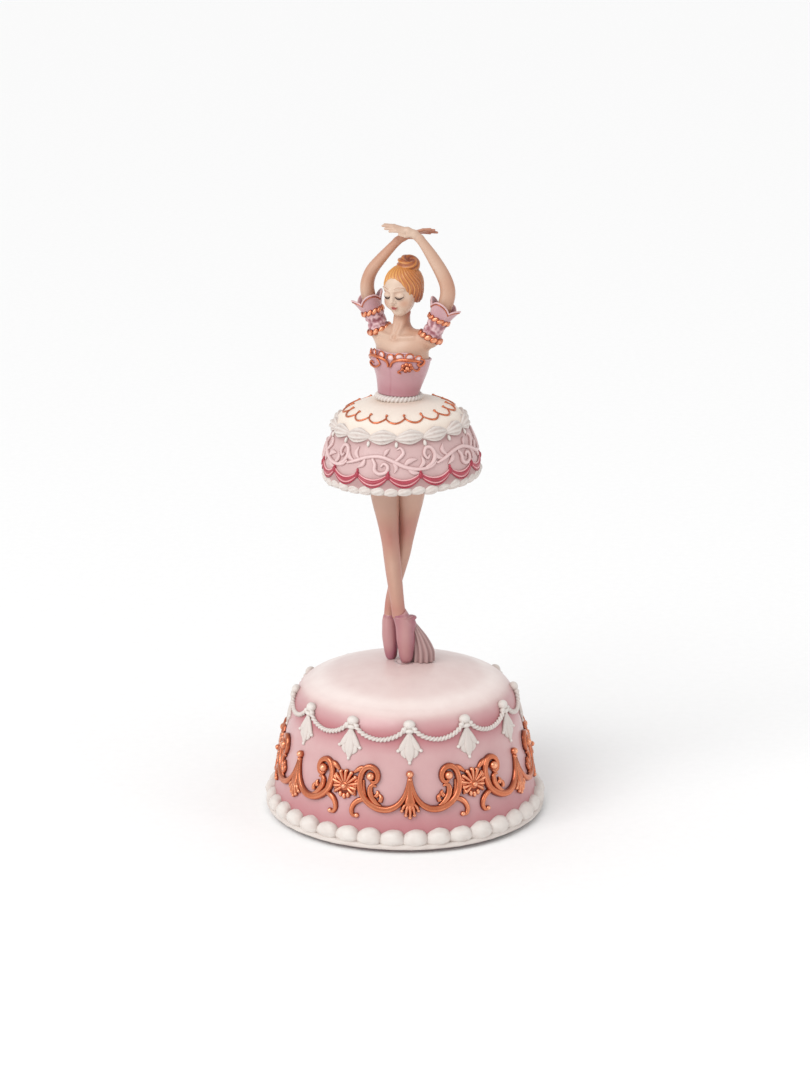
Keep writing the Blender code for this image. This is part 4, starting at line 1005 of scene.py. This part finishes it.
def make_drape():
    """A gathered fall of cloth from the heel, in folds that fan out to the side as they come down."""
    shape = Shape()
    rows, tones = [], []
    sides = 160
    angles = compass(sides)
    middle = spline(
        [(3.4, 0.6, 81.6), (4.6, 0.8, 78.5), (6.4, 1.0, 74.0), (7.6, 1.2, 69.0), (7.6, 1.2, 64.4)], 50
    )
    half = spline([(0.9, 1.2), (2.1, 2.2), (3.6, 3.4), (4.9, 4.3), (5.2, 4.5)], 50)
    for i in range(50):
        t = i / 49
        fold = 0.5 + 0.5 * np.cos(11 * angles + 0.9 * math.sin(2.4 * t) + 0.5 * np.cos(angles))
        depth = 1 - 0.2 * (1 - fold) ** 1.3 * (0.3 + 0.7 * t)
        wide, deep = half[i]
        sag = 0.25 * wide * np.cos(angles) * (1 - t)
        rows.append(middle[i] + oval(angles, wide * depth, deep * depth, sag))
        # painted shade in the troughs of the folds, and darker towards the bottom
        tones.append((0.15 + 0.4 * (1 - fold) + 0.15 * t).clip(0, 1))
    shape.loft(rows[::-1], tones[::-1])
    shape.make("gathered_drape", DRAPE_PAINT, "dancer", "rose_resin", ["pleated_drape"])


# ---------------------------------------------------------------- torso

FRONT = math.pi / 2  # the angle of the bodice's middle, from the doll's left
BODICE_ROWS = (
    (182.6, -2.8, 0.0, 8.7, 6.8), (185.5, -2.4, 0.0, 9.3, 7.1), (189.0, -1.9, -0.1, 10.2, 7.7),
    (192.5, -1.6, -0.3, 11.2, 8.4), (196.0, -1.4, -0.4, 12.0, 8.9), (199.5, -1.2, -0.4, 12.4, 8.9),
    (203.5, -1.0, -0.2, 12.4, 8.4),
)  # z, x, y, half width, half depth
BODICE_SMOOTH = spline(BODICE_ROWS, 60)


def torso_point(angle, z, grow=0.0):
    """A point on the bodice: the angle runs from the doll's left, through the front at 90 degrees."""
    rows = BODICE_SMOOTH
    x, y, wide, deep = (float(np.interp(z, rows[:, 0], rows[:, i])) for i in (1, 2, 3, 4))
    bust = sum(2.0 * bell(angle, FRONT + lean, 0.46) * bell(z, 197.0, 4.4) for lean in (-0.58, 0.58))
    flat = bell(angle, FRONT, 0.2) * bell(z, 198, 4)
    reach = 1 + (bust - 0.7 * flat + grow) / 10
    side = (wide * math.cos(angle) * reach) * DOLL_LEFT
    front = (deep * math.sin(angle) * reach) * FORWARD
    return np.array((x, y, z)) + side + front


def neckline(angle):
    """Height of the bodice's upper edge."""
    turn = (angle - FRONT + math.pi) % math.tau - math.pi
    front = bell(turn, 0, 1.25)
    sweet = 1.5 * sum(bell(turn, lean, 0.34) for lean in (-0.55, 0.55))
    return 197.4 + 3.6 * front + sweet


def make_bodice():
    shape = Shape()
    sides, count = 96, 44
    rows, tones = [], []
    angles = [math.tau * j / sides for j in range(sides)]
    for i in range(count + 3):
        t = min(i / count, 1.0)
        inward = (0.0, -0.5, -1.2, -1.9)[max(0, i - count)]
        ring, shade = [], []
        for angle in angles:
            top = neckline(angle)
            z = 182.6 + t * (top - 182.6) - (0.5 if i > count + 1 else 0)
            ring.append(torso_point(angle, z, 0.45 + inward))
            seam_and_hollow_shade = bell(math.cos(angle), 0, 0.03) * (z < 197)
            shade.append(0.38 + 0.25 * bell(z, 184, 4) + 0.12 * seam_and_hollow_shade)
        rows.append(ring)
        tones.append(shade)
    shape.loft(rows, tones)
    shape.make("satin_bodice", ROSE, "dancer", "rose_resin", ["bodice"])
    make_bodice_trim()


def make_bodice_trim():
    copper, pearl = Shape(), Shape()
    centre = np.array((-1.4, -0.3, 0.0))

    def place(a, z, lift):
        point = torso_point(FRONT - a, z, 0.45)
        out = (point - centre) * (1, 1, 0)
        return point + lift * out / np.linalg.norm(out)

    def line(points, radius):
        path = [place(a, z, 0.45) for a, z in spline(points, 30)]
        taper = np.sin(np.linspace(0.3, math.pi - 0.3, 30)) ** 0.5
        tube(copper, path, radius * taper, 9, 0.35)

    def cell(a, z, wide, tall):
        """A pearly scallop with a copper line round it."""
        at = place(a, z, 0.0)
        out = (at - centre) * (1, 1, 0)
        out /= np.linalg.norm(out)
        round_it = np.cross((0, 0, 1.0), out)
        turn = np.stack([round_it, (0, 0, 1.0), out], -1)
        # painted highlight on the pearl's outer face
        ellipsoid(pearl, at, (wide, tall, 0.62), turn, 18, lambda ball: 0.45 - 0.45 * ball[..., 2].clip(0, 1))
        ring = [at + wide * math.cos(t) * round_it + tall * math.sin(t) * np.array((0, 0, 1.0)) + 0.35 * out
                for t in np.linspace(-0.5, math.pi + 0.5, 24)]
        tube(copper, ring, 0.34, 8, 0.4)

    for a, z, wide, tall in (
        (-1.5, 198.0, 1.55, 1.2), (-1.2, 199.1, 1.65, 1.35), (-0.9, 200.0, 1.75, 1.4),
        (-0.6, 200.6, 1.75, 1.5), (-0.3, 200.4, 1.7, 1.45), (0.0, 199.6, 1.6, 1.35),
        (0.3, 200.3, 1.75, 1.45), (0.61, 200.5, 1.75, 1.45), (0.92, 199.7, 1.6, 1.3),
    ):
        cell(a, z, wide, tall)
    # the scrolls under the breasts' upper edges, each ending in a curl
    for radius, points in (
        (0.7, [(-0.05, 195.6), (-0.1, 197.8), (-0.3, 199.2), (-0.62, 199.5), (-0.95, 198.4), (-1.2, 196.6),
               (-1.46, 196.0)]),
        (0.7, [(0.02, 195.6), (0.08, 197.8), (0.28, 199.2), (0.6, 199.4), (0.86, 198.9), (1.04, 198.2)]),
        (0.55, [(-1.46, 196.0), (-1.58, 197.0), (-1.42, 197.9), (-1.26, 197.2)]),
        (0.6, [(0.98, 199.6), (1.18, 198.8), (1.17, 197.3), (1.0, 196.7), (0.9, 197.5), (0.98, 198.1)]),
        (0.45, [(-0.42, 198.8), (-0.3, 196.6), (-0.52, 194.8), (-0.74, 195.8), (-0.64, 197.2),
                (-0.5, 196.7)]),
        (0.4, [(-0.74, 195.6), (-0.88, 194.4), (-1.0, 195.2)]),
    ):
        line(points, radius)
    # the flower on the left breast
    for j in range(7):
        t = math.tau * j / 7
        point = place(0.56 + 0.13 * math.cos(t), 196.2 + 1.4 * math.sin(t), 0.3)
        # lighter on top, darker underneath: painted light and shade
        ellipsoid(copper, point, (1.0, 1.0, 0.95), None, 12, lambda ball: 0.5 - 0.45 * ball[..., 2])
    ellipsoid(copper, place(0.56, 196.2, 0.8), (0.95, 0.95, 0.9), None, 12, 0.15)
    line([(0.4, 195.0), (0.3, 194.0), (0.4, 193.2)], 0.42)
    line([(0.74, 195.8), (0.9, 194.6), (1.02, 195.2), (0.97, 196.0)], 0.45)
    copper.make("bodice_scrolls", COPPER, "dancer", "copper_trim")
    edge = Shape()
    turns = np.linspace(0, math.tau, 160)
    tube(edge, [torso_point(a, neckline(a) - 0.1, 0.5) for a in turns], 0.4, 8, 0.2)
    for z in np.linspace(184.6, 195.6, 6):
        button = torso_point(-FRONT, z, 0.7)
        # lighter on top, darker underneath: painted light and shade
        ellipsoid(edge, button, (0.62, 0.62, 0.6), None, 12, lambda ball: 0.3 - 0.3 * ball[..., 2])
    edge.make("bodice_edge", ROSE, "dancer", "rose_resin")
    pearl.make("bodice_pearls", BODICE_PEARL, "dancer", "rose_resin")


RIGHT_SLEEVE = (np.array((-10.4, 6.0, 208.0)), np.array((-15.8, 7.0, 222.2)))
LEFT_SLEEVE = (np.array((10.3, -7.0, 207.6)), np.array((16.9, -6.6, 221.6)))


def make_shoulders():
    clay = Field((-17, -15, 192), (17, 13, 220), 0.3)
    turn = np.stack([DOLL_LEFT, -FORWARD, (0, 0, 1)], -1)
    clay.join(clay.ball((-1.2, -0.3, 198.5), (11.9, 8.2, 9.0), turn), 0.1)
    clay.join(clay.ball((-1.0, 0.2, 203.5), (12.3, 7.0, 5.6), turn), 2.0)
    for start, _ in (RIGHT_SLEEVE, LEFT_SLEEVE):
        clay.join(clay.cone((-1.2, 0.4, 205.6), start + (0, 0, -0.4), 3.8, 3.9), 3.0)
    clay.join(clay.cone((-1.7, 0.9, 205.5), (-0.9, 0.6, 218.5), 3.9, 3.05), 3.2)
    notch = np.array((-1.6, 0.2, 207.0)) + FORWARD * 5.6
    for side in (-1, 1):
        # a collarbone, a cord of the neck and a shoulder blade
        outer = side * DOLL_LEFT
        clay.join(clay.cone(notch + outer, notch + outer * 8.0 - FORWARD * 1.8 + (0, 0, 0.9), 0.75, 0.5), 1.6)
        clay.join(clay.cone(notch + outer * 0.8, outer * 2.6 + (-0.9, 0.8, 217.0), 0.65, 0.75), 1.4)
        blade = outer * 5.4 - FORWARD * 6.0 + (-1.2, 0.4, 201.5)
        clay.join(clay.ball(blade, (3.4, 1.9, 4.8), turn), 1.5)
    clay.cut(clay.ball(notch + FORWARD * 1.0 + (0, 0, 0.8), (0.9, 0.9, 0.9)), 1.2)
    spine = np.array((-1.2, 0.0, 0.0)) - FORWARD * 8.9
    clay.cut(clay.cone(spine + (0, 0, 196), spine + (0, 0, 207), 1.1, 0.7), 1.6)

    def tone(p):
        neck = np.clip((p[:, 2] - 208) / 8, 0, 1)
        right = rising(p[:, 0], 0.4, 0.7)
        sleeve_shadow = sum(near(p, start, (3.4, 3.4, 3.0)) for start, _ in (RIGHT_SLEEVE, LEFT_SLEEVE))
        seam_and_hollow_shade = near(p, notch, (2.4, 2.4, 2.0)) + 1.6 * near(p, spine + (0, 0, 201), (2.2, 2.2, 6.0))
        behind = np.clip((p[:, 1] - 1.0) / 3, 0, 1)
        # painted shade on the neck under the head, more on its right side, painted shadow under the sleeves,
        # painted shade in the throat's notch and along the spine's hollow, and a little on the whole right
        # side
        tones = 0.2 + 0.13 * neck + 0.34 * right * neck + 0.25 * sleeve_shadow + 0.08 * right + 0.12 * seam_and_hollow_shade
        return np.minimum(tones, 0.75 - 0.25 * behind).clip(0, 0.75)

    clay.shape(tone).make("chest_and_neck", SKIN, "dancer", "skin_resin", ["shoulders"])


def sleeve_matrix(ends):
    start, rim = (Vector(p) for p in ends)
    return Matrix.Translation(start) @ (rim - start).to_track_quat("Z", "Y").to_matrix().to_4x4()


def make_sleeve(name, ends, turn):
    matrix = sleeve_matrix(ends) @ Matrix.Rotation(turn, 4, "Z")
    cloth, trim, edge = Shape(), Shape(), Shape()
    sides = 132
    angles = compass(sides)
    lobes = 4

    def rim_height(a):
        return 12.9 + 2.7 * np.abs(np.cos(lobes * a / 2)) ** 0.8

    def ring(radius, z):
        return oval(angles, radius, radius, z)

    def bead_tone(ball):
        # painted highlight on each bead's outer face, painted shade on its inner face and at its ends
        return 0.42 - 0.35 * ball[..., 0] + 0.45 * np.abs(ball[..., 1]) ** 3

    rows, tones = [ring(0.05, 0.3)], [np.full(sides, 0.6)]
    for z in np.linspace(0.2, 8.4, 50):
        waist = ring(3.85 + 0.5 * abs(z - 4.4) / 4.2, z)
        puffs = np.clip(2.6 * cloud(waist, 1.5, turn), -1, 1)
        rows.append(waist + ring(0.32 * puffs, 0))
        # painted highlights on the puffs and painted shade between them
        tones.append((0.4 - 0.5 * puffs).clip(0, 1))
    for t in np.linspace(0.06, 1, 20):
        flare = 4.2 + 2.3 * t**1.2 + 0.4 * t * np.cos(lobes * angles)
        rows.append(ring(flare, 8.4 + (rim_height(angles) - 8.4) * t))
        tones.append(0.42 - 0.2 * t + 0.12 * np.cos(lobes * angles) * t)
    # the inside of the cup, in painted shade that deepens towards its bottom
    for t in np.linspace(0.98, 0.1, 16):
        flare = 3.6 + 2.2 * t**1.2 + 0.4 * t * np.cos(lobes * angles)
        rows.append(ring(flare, 8.6 + (rim_height(angles) - 8.7) * t))
        tones.append(np.full(sides, 0.95 - 0.5 * t))
    rows.append(ring(0.05, 8.8))
    tones.append(np.full(sides, 0.95))
    cloth.loft(rows, tones)
    for z, radius, thick, beads in ((0.5, 4.3, 1.0, 11), (8.6, 4.15, 0.75, 12)):
        around = np.linspace(0, math.tau, 120)
        tube(trim, oval(around, radius, radius, z + 0.28 * np.sin(beads * around)), thick * 0.8, 10, 0.8)
        for j in range(beads):
            a = math.tau * j / beads
            turn_to = np.array(Matrix.Rotation(a, 3, "Z") @ Matrix.Rotation(0.6, 3, "X"))
            at = ((radius + 0.3) * math.cos(a), (radius + 0.3) * math.sin(a), z)
            ellipsoid(trim, at, (thick, 1.8, thick * 1.2), turn_to, 16, bead_tone)

    def brim(radius, below):
        around = np.linspace(0, math.tau, 200)
        reach = radius + 0.4 * np.cos(lobes * around)
        return oval(around, reach, reach, rim_height(around) - below)

    tube(edge, brim(6.35, 0.0), 0.36, 8, 0.0)
    tube(trim, brim(6.3, 0.72), 0.24, 8, 0.5)
    tube(trim, brim(5.75, 0.95), 0.26, 8, 0.7)
    cloth.moved(matrix).make(name + "_cloth", ROSE, "dancer", "rose_resin", [name])
    trim.moved(matrix).make(name + "_trim", COPPER, "dancer", "copper_trim")
    edge.moved(matrix).make(name + "_edge", ROSE, "dancer", "rose_resin")


RIGHT_ARM = (
    (-13.3, 6.5, 215.5, 3.0), (-15.0, 7.0, 221.5, 2.95), (-15.7, 7.0, 226.2, 2.85), (-15.0, 6.7, 230.3, 2.65),
    (-13.2, 5.6, 234.2, 2.5), (-9.8, 3.6, 238.8, 2.2), (-6.0, 1.8, 243.4, 1.85), (-3.1, 1.2, 246.6, 1.6),
)
LEFT_ARM = (
    (14.0, -6.9, 215.0, 3.1), (16.6, -6.6, 221.4, 3.1), (17.6, -6.1, 226.2, 3.1), (17.0, -5.9, 230.2, 2.95),
    (15.1, -5.4, 234.6, 2.8), (12.0, -4.8, 239.9, 2.5), (8.8, -4.4, 244.8, 2.05), (6.0, -4.2, 248.6, 1.7),
)


def make_arm(name, path, palm, fingers, thumb, low, high, dark):
    clay = Field(low, high, 0.22)
    smooth = spline(path, 26)
    clay.chain([tuple(p) for p in smooth], 0.3)
    for a, b in zip(palm, palm[1:]):
        clay.join(clay.cone(a[:3], b[:3], a[3], b[3]), 0.9)
    hand = clay.d.copy()
    for finger in fingers:
        clay.d = np.full_like(hand, 1e3)
        clay.chain(finger, 0.3)
        hand = smooth_join(hand, clay.d, 0.35)
    clay.d = np.full_like(hand, 1e3)
    clay.chain(thumb, 0.3)
    clay.d = smooth_join(hand, clay.d, 0.5)

    def tone(p):
        middle_x = np.interp(p[:, 2], smooth[:, 2], smooth[:, 0])
        middle_y = np.interp(p[:, 2], smooth[:, 2], smooth[:, 1])
        height = np.clip((p[:, 2] - 222) / 28, 0, 1)
        right = np.clip(0.5 + (p[:, 0] - middle_x) / 6, 0, 1)
        front = np.clip(-(p[:, 1] - middle_y) / 3, 0, 1)
        elbow = near(p, np.array(path[3][:3]), (4, 4, 4))
        # painted shade on the arm's right side and a painted highlight on its front; by the weights in dark,
        # painted shadow on the right hand behind the left wrist and painted light on the left hand
        return (dark[0] + dark[1] * right + dark[2] * height - 0.12 * front + 0.14 * elbow).clip(0, 0.62)

    clay.shape(tone).make(name + "_skin", SKIN, "dancer", "skin_resin", [name])


def make_arms():
    make_arm(
        "right_arm", RIGHT_ARM,
        [(-3.1, 1.2, 246.6, 1.6), (-0.8, 1.1, 248.3, 1.7), (2.0, 1.2, 249.4, 1.6), (4.2, 1.2, 249.9, 1.2)],
        [
            [(3.6, 0.2, 250.3, 0.75), (7.4, 0.0, 251.4, 0.68), (10.4, 0.1, 251.7, 0.55)],
            [(4.0, 1.0, 250.2, 0.78), (8.2, 0.9, 251.0, 0.7), (12.0, 1.0, 251.1, 0.55)],
            [(4.0, 1.9, 249.9, 0.75), (8.6, 2.0, 250.4, 0.68), (13.2, 1.7, 250.0, 0.5)],
            [(3.4, 2.7, 249.6, 0.68), (7.2, 3.0, 249.8, 0.6), (10.4, 2.9, 249.4, 0.48)],
        ],
        [(1.4, 0.2, 248.5, 0.85), (4.4, -0.4, 248.2, 0.72), (7.2, -0.2, 247.2, 0.52)],
        (-20, -3.5, 212), (16, 12, 254), (0.34, 0.09, 0.16),
    )
    make_arm(
        "left_arm", LEFT_ARM,
        [(6.0, -4.2, 248.6, 1.7), (3.8, -4.1, 250.4, 1.75), (1.0, -4.0, 251.7, 1.65),
         (-1.2, -4.0, 252.3, 1.2)],
        [
            [(-0.6, -3.0, 252.6, 0.78), (-4.4, -2.8, 253.8, 0.68), (-8.4, -2.9, 254.3, 0.5)],
            [(-1.0, -3.8, 252.6, 0.78), (-5.0, -3.8, 253.7, 0.68), (-9.2, -3.8, 253.9, 0.5)],
            [(-0.8, -4.7, 252.1, 0.75), (-4.6, -4.8, 252.9, 0.66), (-8.2, -4.6, 252.8, 0.48)],
            [(-0.4, -5.3, 251.5, 0.68), (-3.6, -5.5, 252.0, 0.6), (-6.4, -5.3, 251.8, 0.46)],
        ],
        [(2.6, -5.0, 250.2, 0.85), (0.2, -5.7, 250.0, 0.7), (-2.4, -5.8, 250.6, 0.52)],
        (-11.5, -11, 211), (22.5, 0.5, 256.5), (0.36, 0.16, -0.14),
    )


# ---------------------------------------------------------------- head

HEAD = (
    Matrix.Translation((-0.9, -0.2, 225.9)) @ Matrix.Rotation(math.radians(-34), 4, "Z")
    @ Matrix.Rotation(math.radians(13), 4, "X") @ Matrix.Rotation(math.radians(-3), 4, "Y")
)


def make_head():
    clay = Field((-9, -11.5, -12.5), (9, 11.5, 12.5), 0.18)
    clay.join(clay.ball((0, 1.2, 2.4), (7.3, 8.6, 8.0)), 0.1)
    clay.join(clay.ball((0, -2.6, -2.4), (6.1, 5.2, 6.4)), 2.2)
    clay.join(clay.ball((0, -4.9, -7.2), (2.5, 2.2, 1.8)), 2.0)
    for side in (-1, 1):
        clay.join(clay.ball((side * 3.5, -4.6, -3.2), (2.8, 2.3, 2.8)), 1.6)
        clay.join(clay.cone((side * 1.2, -7.3, 3.1), (side * 4.7, -5.6, 3.5), 0.6, 0.5), 1.4)
        clay.cut(clay.ball((side * 2.95, -8.9, 1.2), (2.0, 1.6, 1.2)), 1.3)
        clay.join(clay.ball((side * 2.95, -6.3, 0.85), (1.95, 1.3, 1.3)), 0.5)
    clay.join(clay.cone((0, -7.2, 2.3), (0, -8.85, -1.3), 0.6, 0.85), 1.0)
    for side in (-1, 1):
        clay.join(clay.ball((side * 0.9, -8.0, -1.6), (0.65, 0.75, 0.55)), 0.4)
        clay.join(clay.ball((side * 0.75, -7.75, -3.65), (1.35, 0.85, 0.52)), 0.35)
        clay.cut(clay.ball((side * 2.2, -8.0, -3.8), (0.3, 0.35, 0.3)), 0.6)
    clay.join(clay.ball((0, -7.5, -4.75), (1.6, 0.95, 0.66)), 0.3)
    clay.cut(clay.cone((-1.8, -8.1, -4.05), (1.8, -8.1, -4.05), 0.1, 0.1), 0.35)

    def tone(p):
        mouth = near(p, (0, -8.3, -4.2), (2.3, 1.6, 1.1))
        blush = sum(near(p, (side * 4.2, -5.8, -2.6), (2.1, 2.4, 1.8)) for side in (-1, 1))
        socket = sum(near(p, (side * 2.95, -7.0, 2.5), (2.3, 1.3, 0.8)) for side in (-1, 1))
        corner = sum(near(p, (side * 1.3, -7.4, 1.0), (0.7, 1.0, 1.2)) for side in (-1, 1))
        tip = near(p, (0, -9.2, -1.7), (1.1, 0.8, 0.6))
        chin = near(p, (0, -6.8, -5.9), (1.6, 1.2, 0.5))
        side_shade = rising(p[:, 0], 3.8, 0.8)
        jaw = np.clip((-5.6 - p[:, 2]) / 4, 0, 1)
        nape = 0.3 * np.clip((-1.5 - p[:, 2]) / 3, 0, 1) * np.clip((p[:, 1] + 1.0) / 3, 0, 1)
        base = 0.08 + 0.32 * blush + 0.13 * socket + 0.12 * corner + 0.12 * tip + 0.08 * chin
        # painted shade on the right side, under the jaw and at the nape under the hair
        base = base + 0.05 * side_shade + 0.14 * jaw + nape
        return np.maximum(base, 0.8 * np.clip(mouth * 2.4 - 0.9, 0, 1)).clip(0, 0.88)

    clay.shape(tone).moved(HEAD).make("head_and_face", SKIN, "dancer", "skin_resin", ["head"])
    lashes = Shape()
    for side in (-1, 1):
        lid = spline([(1.2, -7.5, 0.6), (2.0, -7.8, 0.0), (2.95, -7.75, -0.28), (3.9, -7.3, -0.1),
                      (4.9, -6.45, 0.5)], 26)
        lid[:, 0] *= side
        tube(lashes, lid, 0.08 + 0.23 * np.sin(np.linspace(0.2, 2.9, 26)), 8, 1.0)
        brow = spline([(1.5, -7.9, 3.9), (2.9, -7.65, 4.7), (4.6, -6.5, 4.4), (5.5, -5.7, 3.7)], 20)
        brow[:, 0] *= side
        tube(lashes, brow, 0.05 + 0.07 * np.sin(np.linspace(0.2, 2.9, 20)), 8, 0.2)
    lashes.moved(HEAD).make("lashes_and_brows", LASH, "dancer", "hair_resin")


BUN_SPOT = np.array((0.9, 2.6, 9.6))  # in the head's frame


def make_hair():
    clay = Field((-10, -10, -10), (10, 12, 12.5), 0.2)
    clay.join(clay.ball((0, 1.5, 2.4), (7.8, 9.2, 8.3)), 0.1)
    for side in (-1, 1):
        clay.join(clay.ball((side * 5.8, 1.5, -1.2), (1.9, 3.3, 4.0)), 1.4)
    clay.join(clay.ball((0, 6.4, -2.4), (5.0, 3.4, 4.6)), 2.0)
    clay.cut(clay.ball((0, -9.4, -3.2), (7.4, 8.2, 12.3)), 1.0)
    clay.cut(clay.ball((0, -4.2, -12.0), (9.0, 7.8, 6.6)), 2.2)
    made = clay.shape()
    points = made.points[0]
    # strands sweep back and up to the bun
    from_bun = points - BUN_SPOT
    reach = np.linalg.norm(from_bun, axis=1)
    around = np.arctan2(from_bun[:, 0], -from_bun[:, 1]) + 0.2 * np.sin(reach * 0.45)
    strand = 0.55 * np.sin(26 * around + 0.8 * np.sin(reach)) + 0.45 * np.sin(47 * around + 1.3)
    out = points - np.array((0, 1.5, 1.0))
    out /= np.linalg.norm(out, axis=1, keepdims=True)
    fade = np.clip(reach / 5, 0, 1)
    made.points[0] = points + out * (0.17 * strand * fade)[:, None]
    low = np.clip((2.0 - points[:, 2]) / 9, 0, 1)
    right = np.clip((points[:, 0] + 1) / 9, 0, 1)
    # painted highlights on the strands, painted shade in the grooves and on the right side; darker low down
    made.tones[0] = (0.2 - 0.28 * strand * fade + 0.5 * low + 0.3 * right).clip(0, 1)
    made.moved(HEAD).make("swept_hair", HAIR, "dancer", "hair_resin", ["hair"])


def make_bun():
    shape = Shape()
    sides, count = 84, 44
    angles = compass(sides)
    rows, tones = [], []
    for polar in np.linspace(math.pi - 0.05, 0.05, count):
        twist = angles + 2.6 * polar
        groove = np.cos(4 * twist) * 0.65 + np.cos(9 * twist) * 0.25
        r = (1 + 0.11 * groove * math.sin(polar)) * math.sin(polar)
        pit = bell(polar, 0, 0.42)
        rows.append(oval(angles, 4.6 * r, 4.4 * r, 3.6 * math.cos(polar) * (1 - 0.5 * pit)))
        # painted shade in the twist's grooves and in the hollow at its centre
        tones.append(0.56 - 0.42 * groove + 0.6 * pit)
    shape.loft(rows, np.clip(tones, 0, 1))
    band = Shape()
    path = oval(np.linspace(0, math.tau, 90), 3.7, 3.6, -2.3)
    tube(band, path, 0.7, 8, 0.5, lambda around, t: 0.3 * np.cos(14 * math.tau * t + around))
    merge(shape, band)
    place = Matrix.Translation((1.5, 1.4, 236.9)) @ Matrix.Rotation(math.radians(26), 4, "X")
    shape.moved(place @ Matrix.Rotation(0.12, 4, "Y"))
    shape.make("twisted_bun", HAIR, "dancer", "hair_resin", ["hair_bun"])


# ---------------------------------------------------------------- movement

FINISHES = {
    "steel": metal("plain_steel", (176, 178, 182), 0.3),
    "brass": metal("plain_brass", (206, 170, 98), 0.32),
    "zinc": metal("cast_zinc", (150, 150, 152), 0.45, 900.0),
    "nylon": metal("natural_nylon", (228, 224, 212), 0.5, 400.0, 0.0),
    "cover_board": metal("moulded_cover", (92, 70, 62), 0.6, 1500.0, 0.0),
    "rubber": metal("black_rubber", (36, 36, 37), 0.7, 1200.0, 0.0),
}


def finish_movement():
    paint_by_node = {"spindle_bush": BUSH_PINK}
    slots = {part["node"]: part["material_slot"] for part in frame["record"]["subparts"]}
    for name, node in frame["nodes"].items():
        finish = paint_by_node.get(name) or FINISHES.get(slots.get(name))
        if finish:
            for place in node.material_slots:
                place.material = finish


# ---------------------------------------------------------------- studio

FLOOR_REACH = 8.0  # metres
ROOM_LIGHT = 0.74
AIM = Vector((0, 0, 0.13))  # where the softboxes point
CAMERA_PLACE = (0, -1.341, 0.524)
CAMERA_DOWN = 16.83  # degrees
CAMERA_LENS = 110.57  # for a 36 mm sensor


def softbox(name, location, size, power, colour=(1, 1, 1)):
    data = bpy.data.lights.new(name, "AREA")
    data.shape = "RECTANGLE"
    data.size, data.size_y = size
    data.energy = power
    data.color = colour
    light = bpy.data.objects.new(name, data)
    bpy.context.scene.collection.objects.link(light)
    light.location = location
    aim = AIM - Vector(location)
    light.rotation_euler = aim.to_track_quat("-Z", "Y").to_euler()


def make_studio():
    scene = bpy.context.scene
    floor_mesh = bpy.data.meshes.new("floor")
    corners = [(x * FLOOR_REACH, y * FLOOR_REACH, 0) for x, y in ((-1, -1), (1, -1), (1, 1), (-1, 1))]
    floor_mesh.from_pydata(corners, [], [(0, 1, 2, 3)])
    floor = bpy.data.objects.new("floor", floor_mesh)
    floor.location.z = -0.0002
    scene.collection.objects.link(floor)
    floor_mesh.materials.append(paper("pale_floor"))
    world = bpy.data.worlds.new("studio")
    scene.world = world
    world.use_nodes = True
    sky = world.node_tree.nodes["Background"]
    sky.inputs["Color"].default_value = (1, 1, 1, 1)
    sky.inputs["Strength"].default_value = ROOM_LIGHT
    sun_data = bpy.data.lights.new("window", "SUN")
    sun_data.energy = 1.2
    sun_data.angle = math.radians(40)
    sun = bpy.data.objects.new("window", sun_data)
    sun.rotation_euler = Vector((0.62, 0.7, -0.95)).to_track_quat("-Z", "Y").to_euler()
    scene.collection.objects.link(sun)
    softbox("left_strip", (-0.75, -0.5, 0.35), (0.25, 0.9), 1.5, (1.0, 0.99, 0.97))
    softbox("right_strip", (0.8, -0.45, 0.3), (0.2, 0.8), 0.8)
    camera_data = bpy.data.cameras.new("camera")
    camera_data.lens = CAMERA_LENS
    camera_data.sensor_width = 36
    camera = bpy.data.objects.new("camera", camera_data)
    camera.location = CAMERA_PLACE
    camera.rotation_euler = (math.radians(90 - CAMERA_DOWN), 0, 0)
    scene.collection.objects.link(camera)
    scene.camera = camera
    scene.view_settings.view_transform = "Standard"


make_studio()
make_cake()
make_border()
make_swags()
make_scrollwork()
make_skirt()
make_top_scallops()
make_shell_ring()
make_vine()
make_crimson_scallops()
make_hem()
make_waist()
make_leg("right_leg", RIGHT_LEG, 121, 1)
make_leg("left_leg", LEFT_LEG, 123, -1)
make_shoes()
make_drape()
make_bodice()
make_shoulders()
make_sleeve("right_sleeve", RIGHT_SLEEVE, 0.4)
make_sleeve("left_sleeve", LEFT_SLEEVE, 1.1)
make_arms()
make_head()
make_hair()
make_bun()
finish_movement()
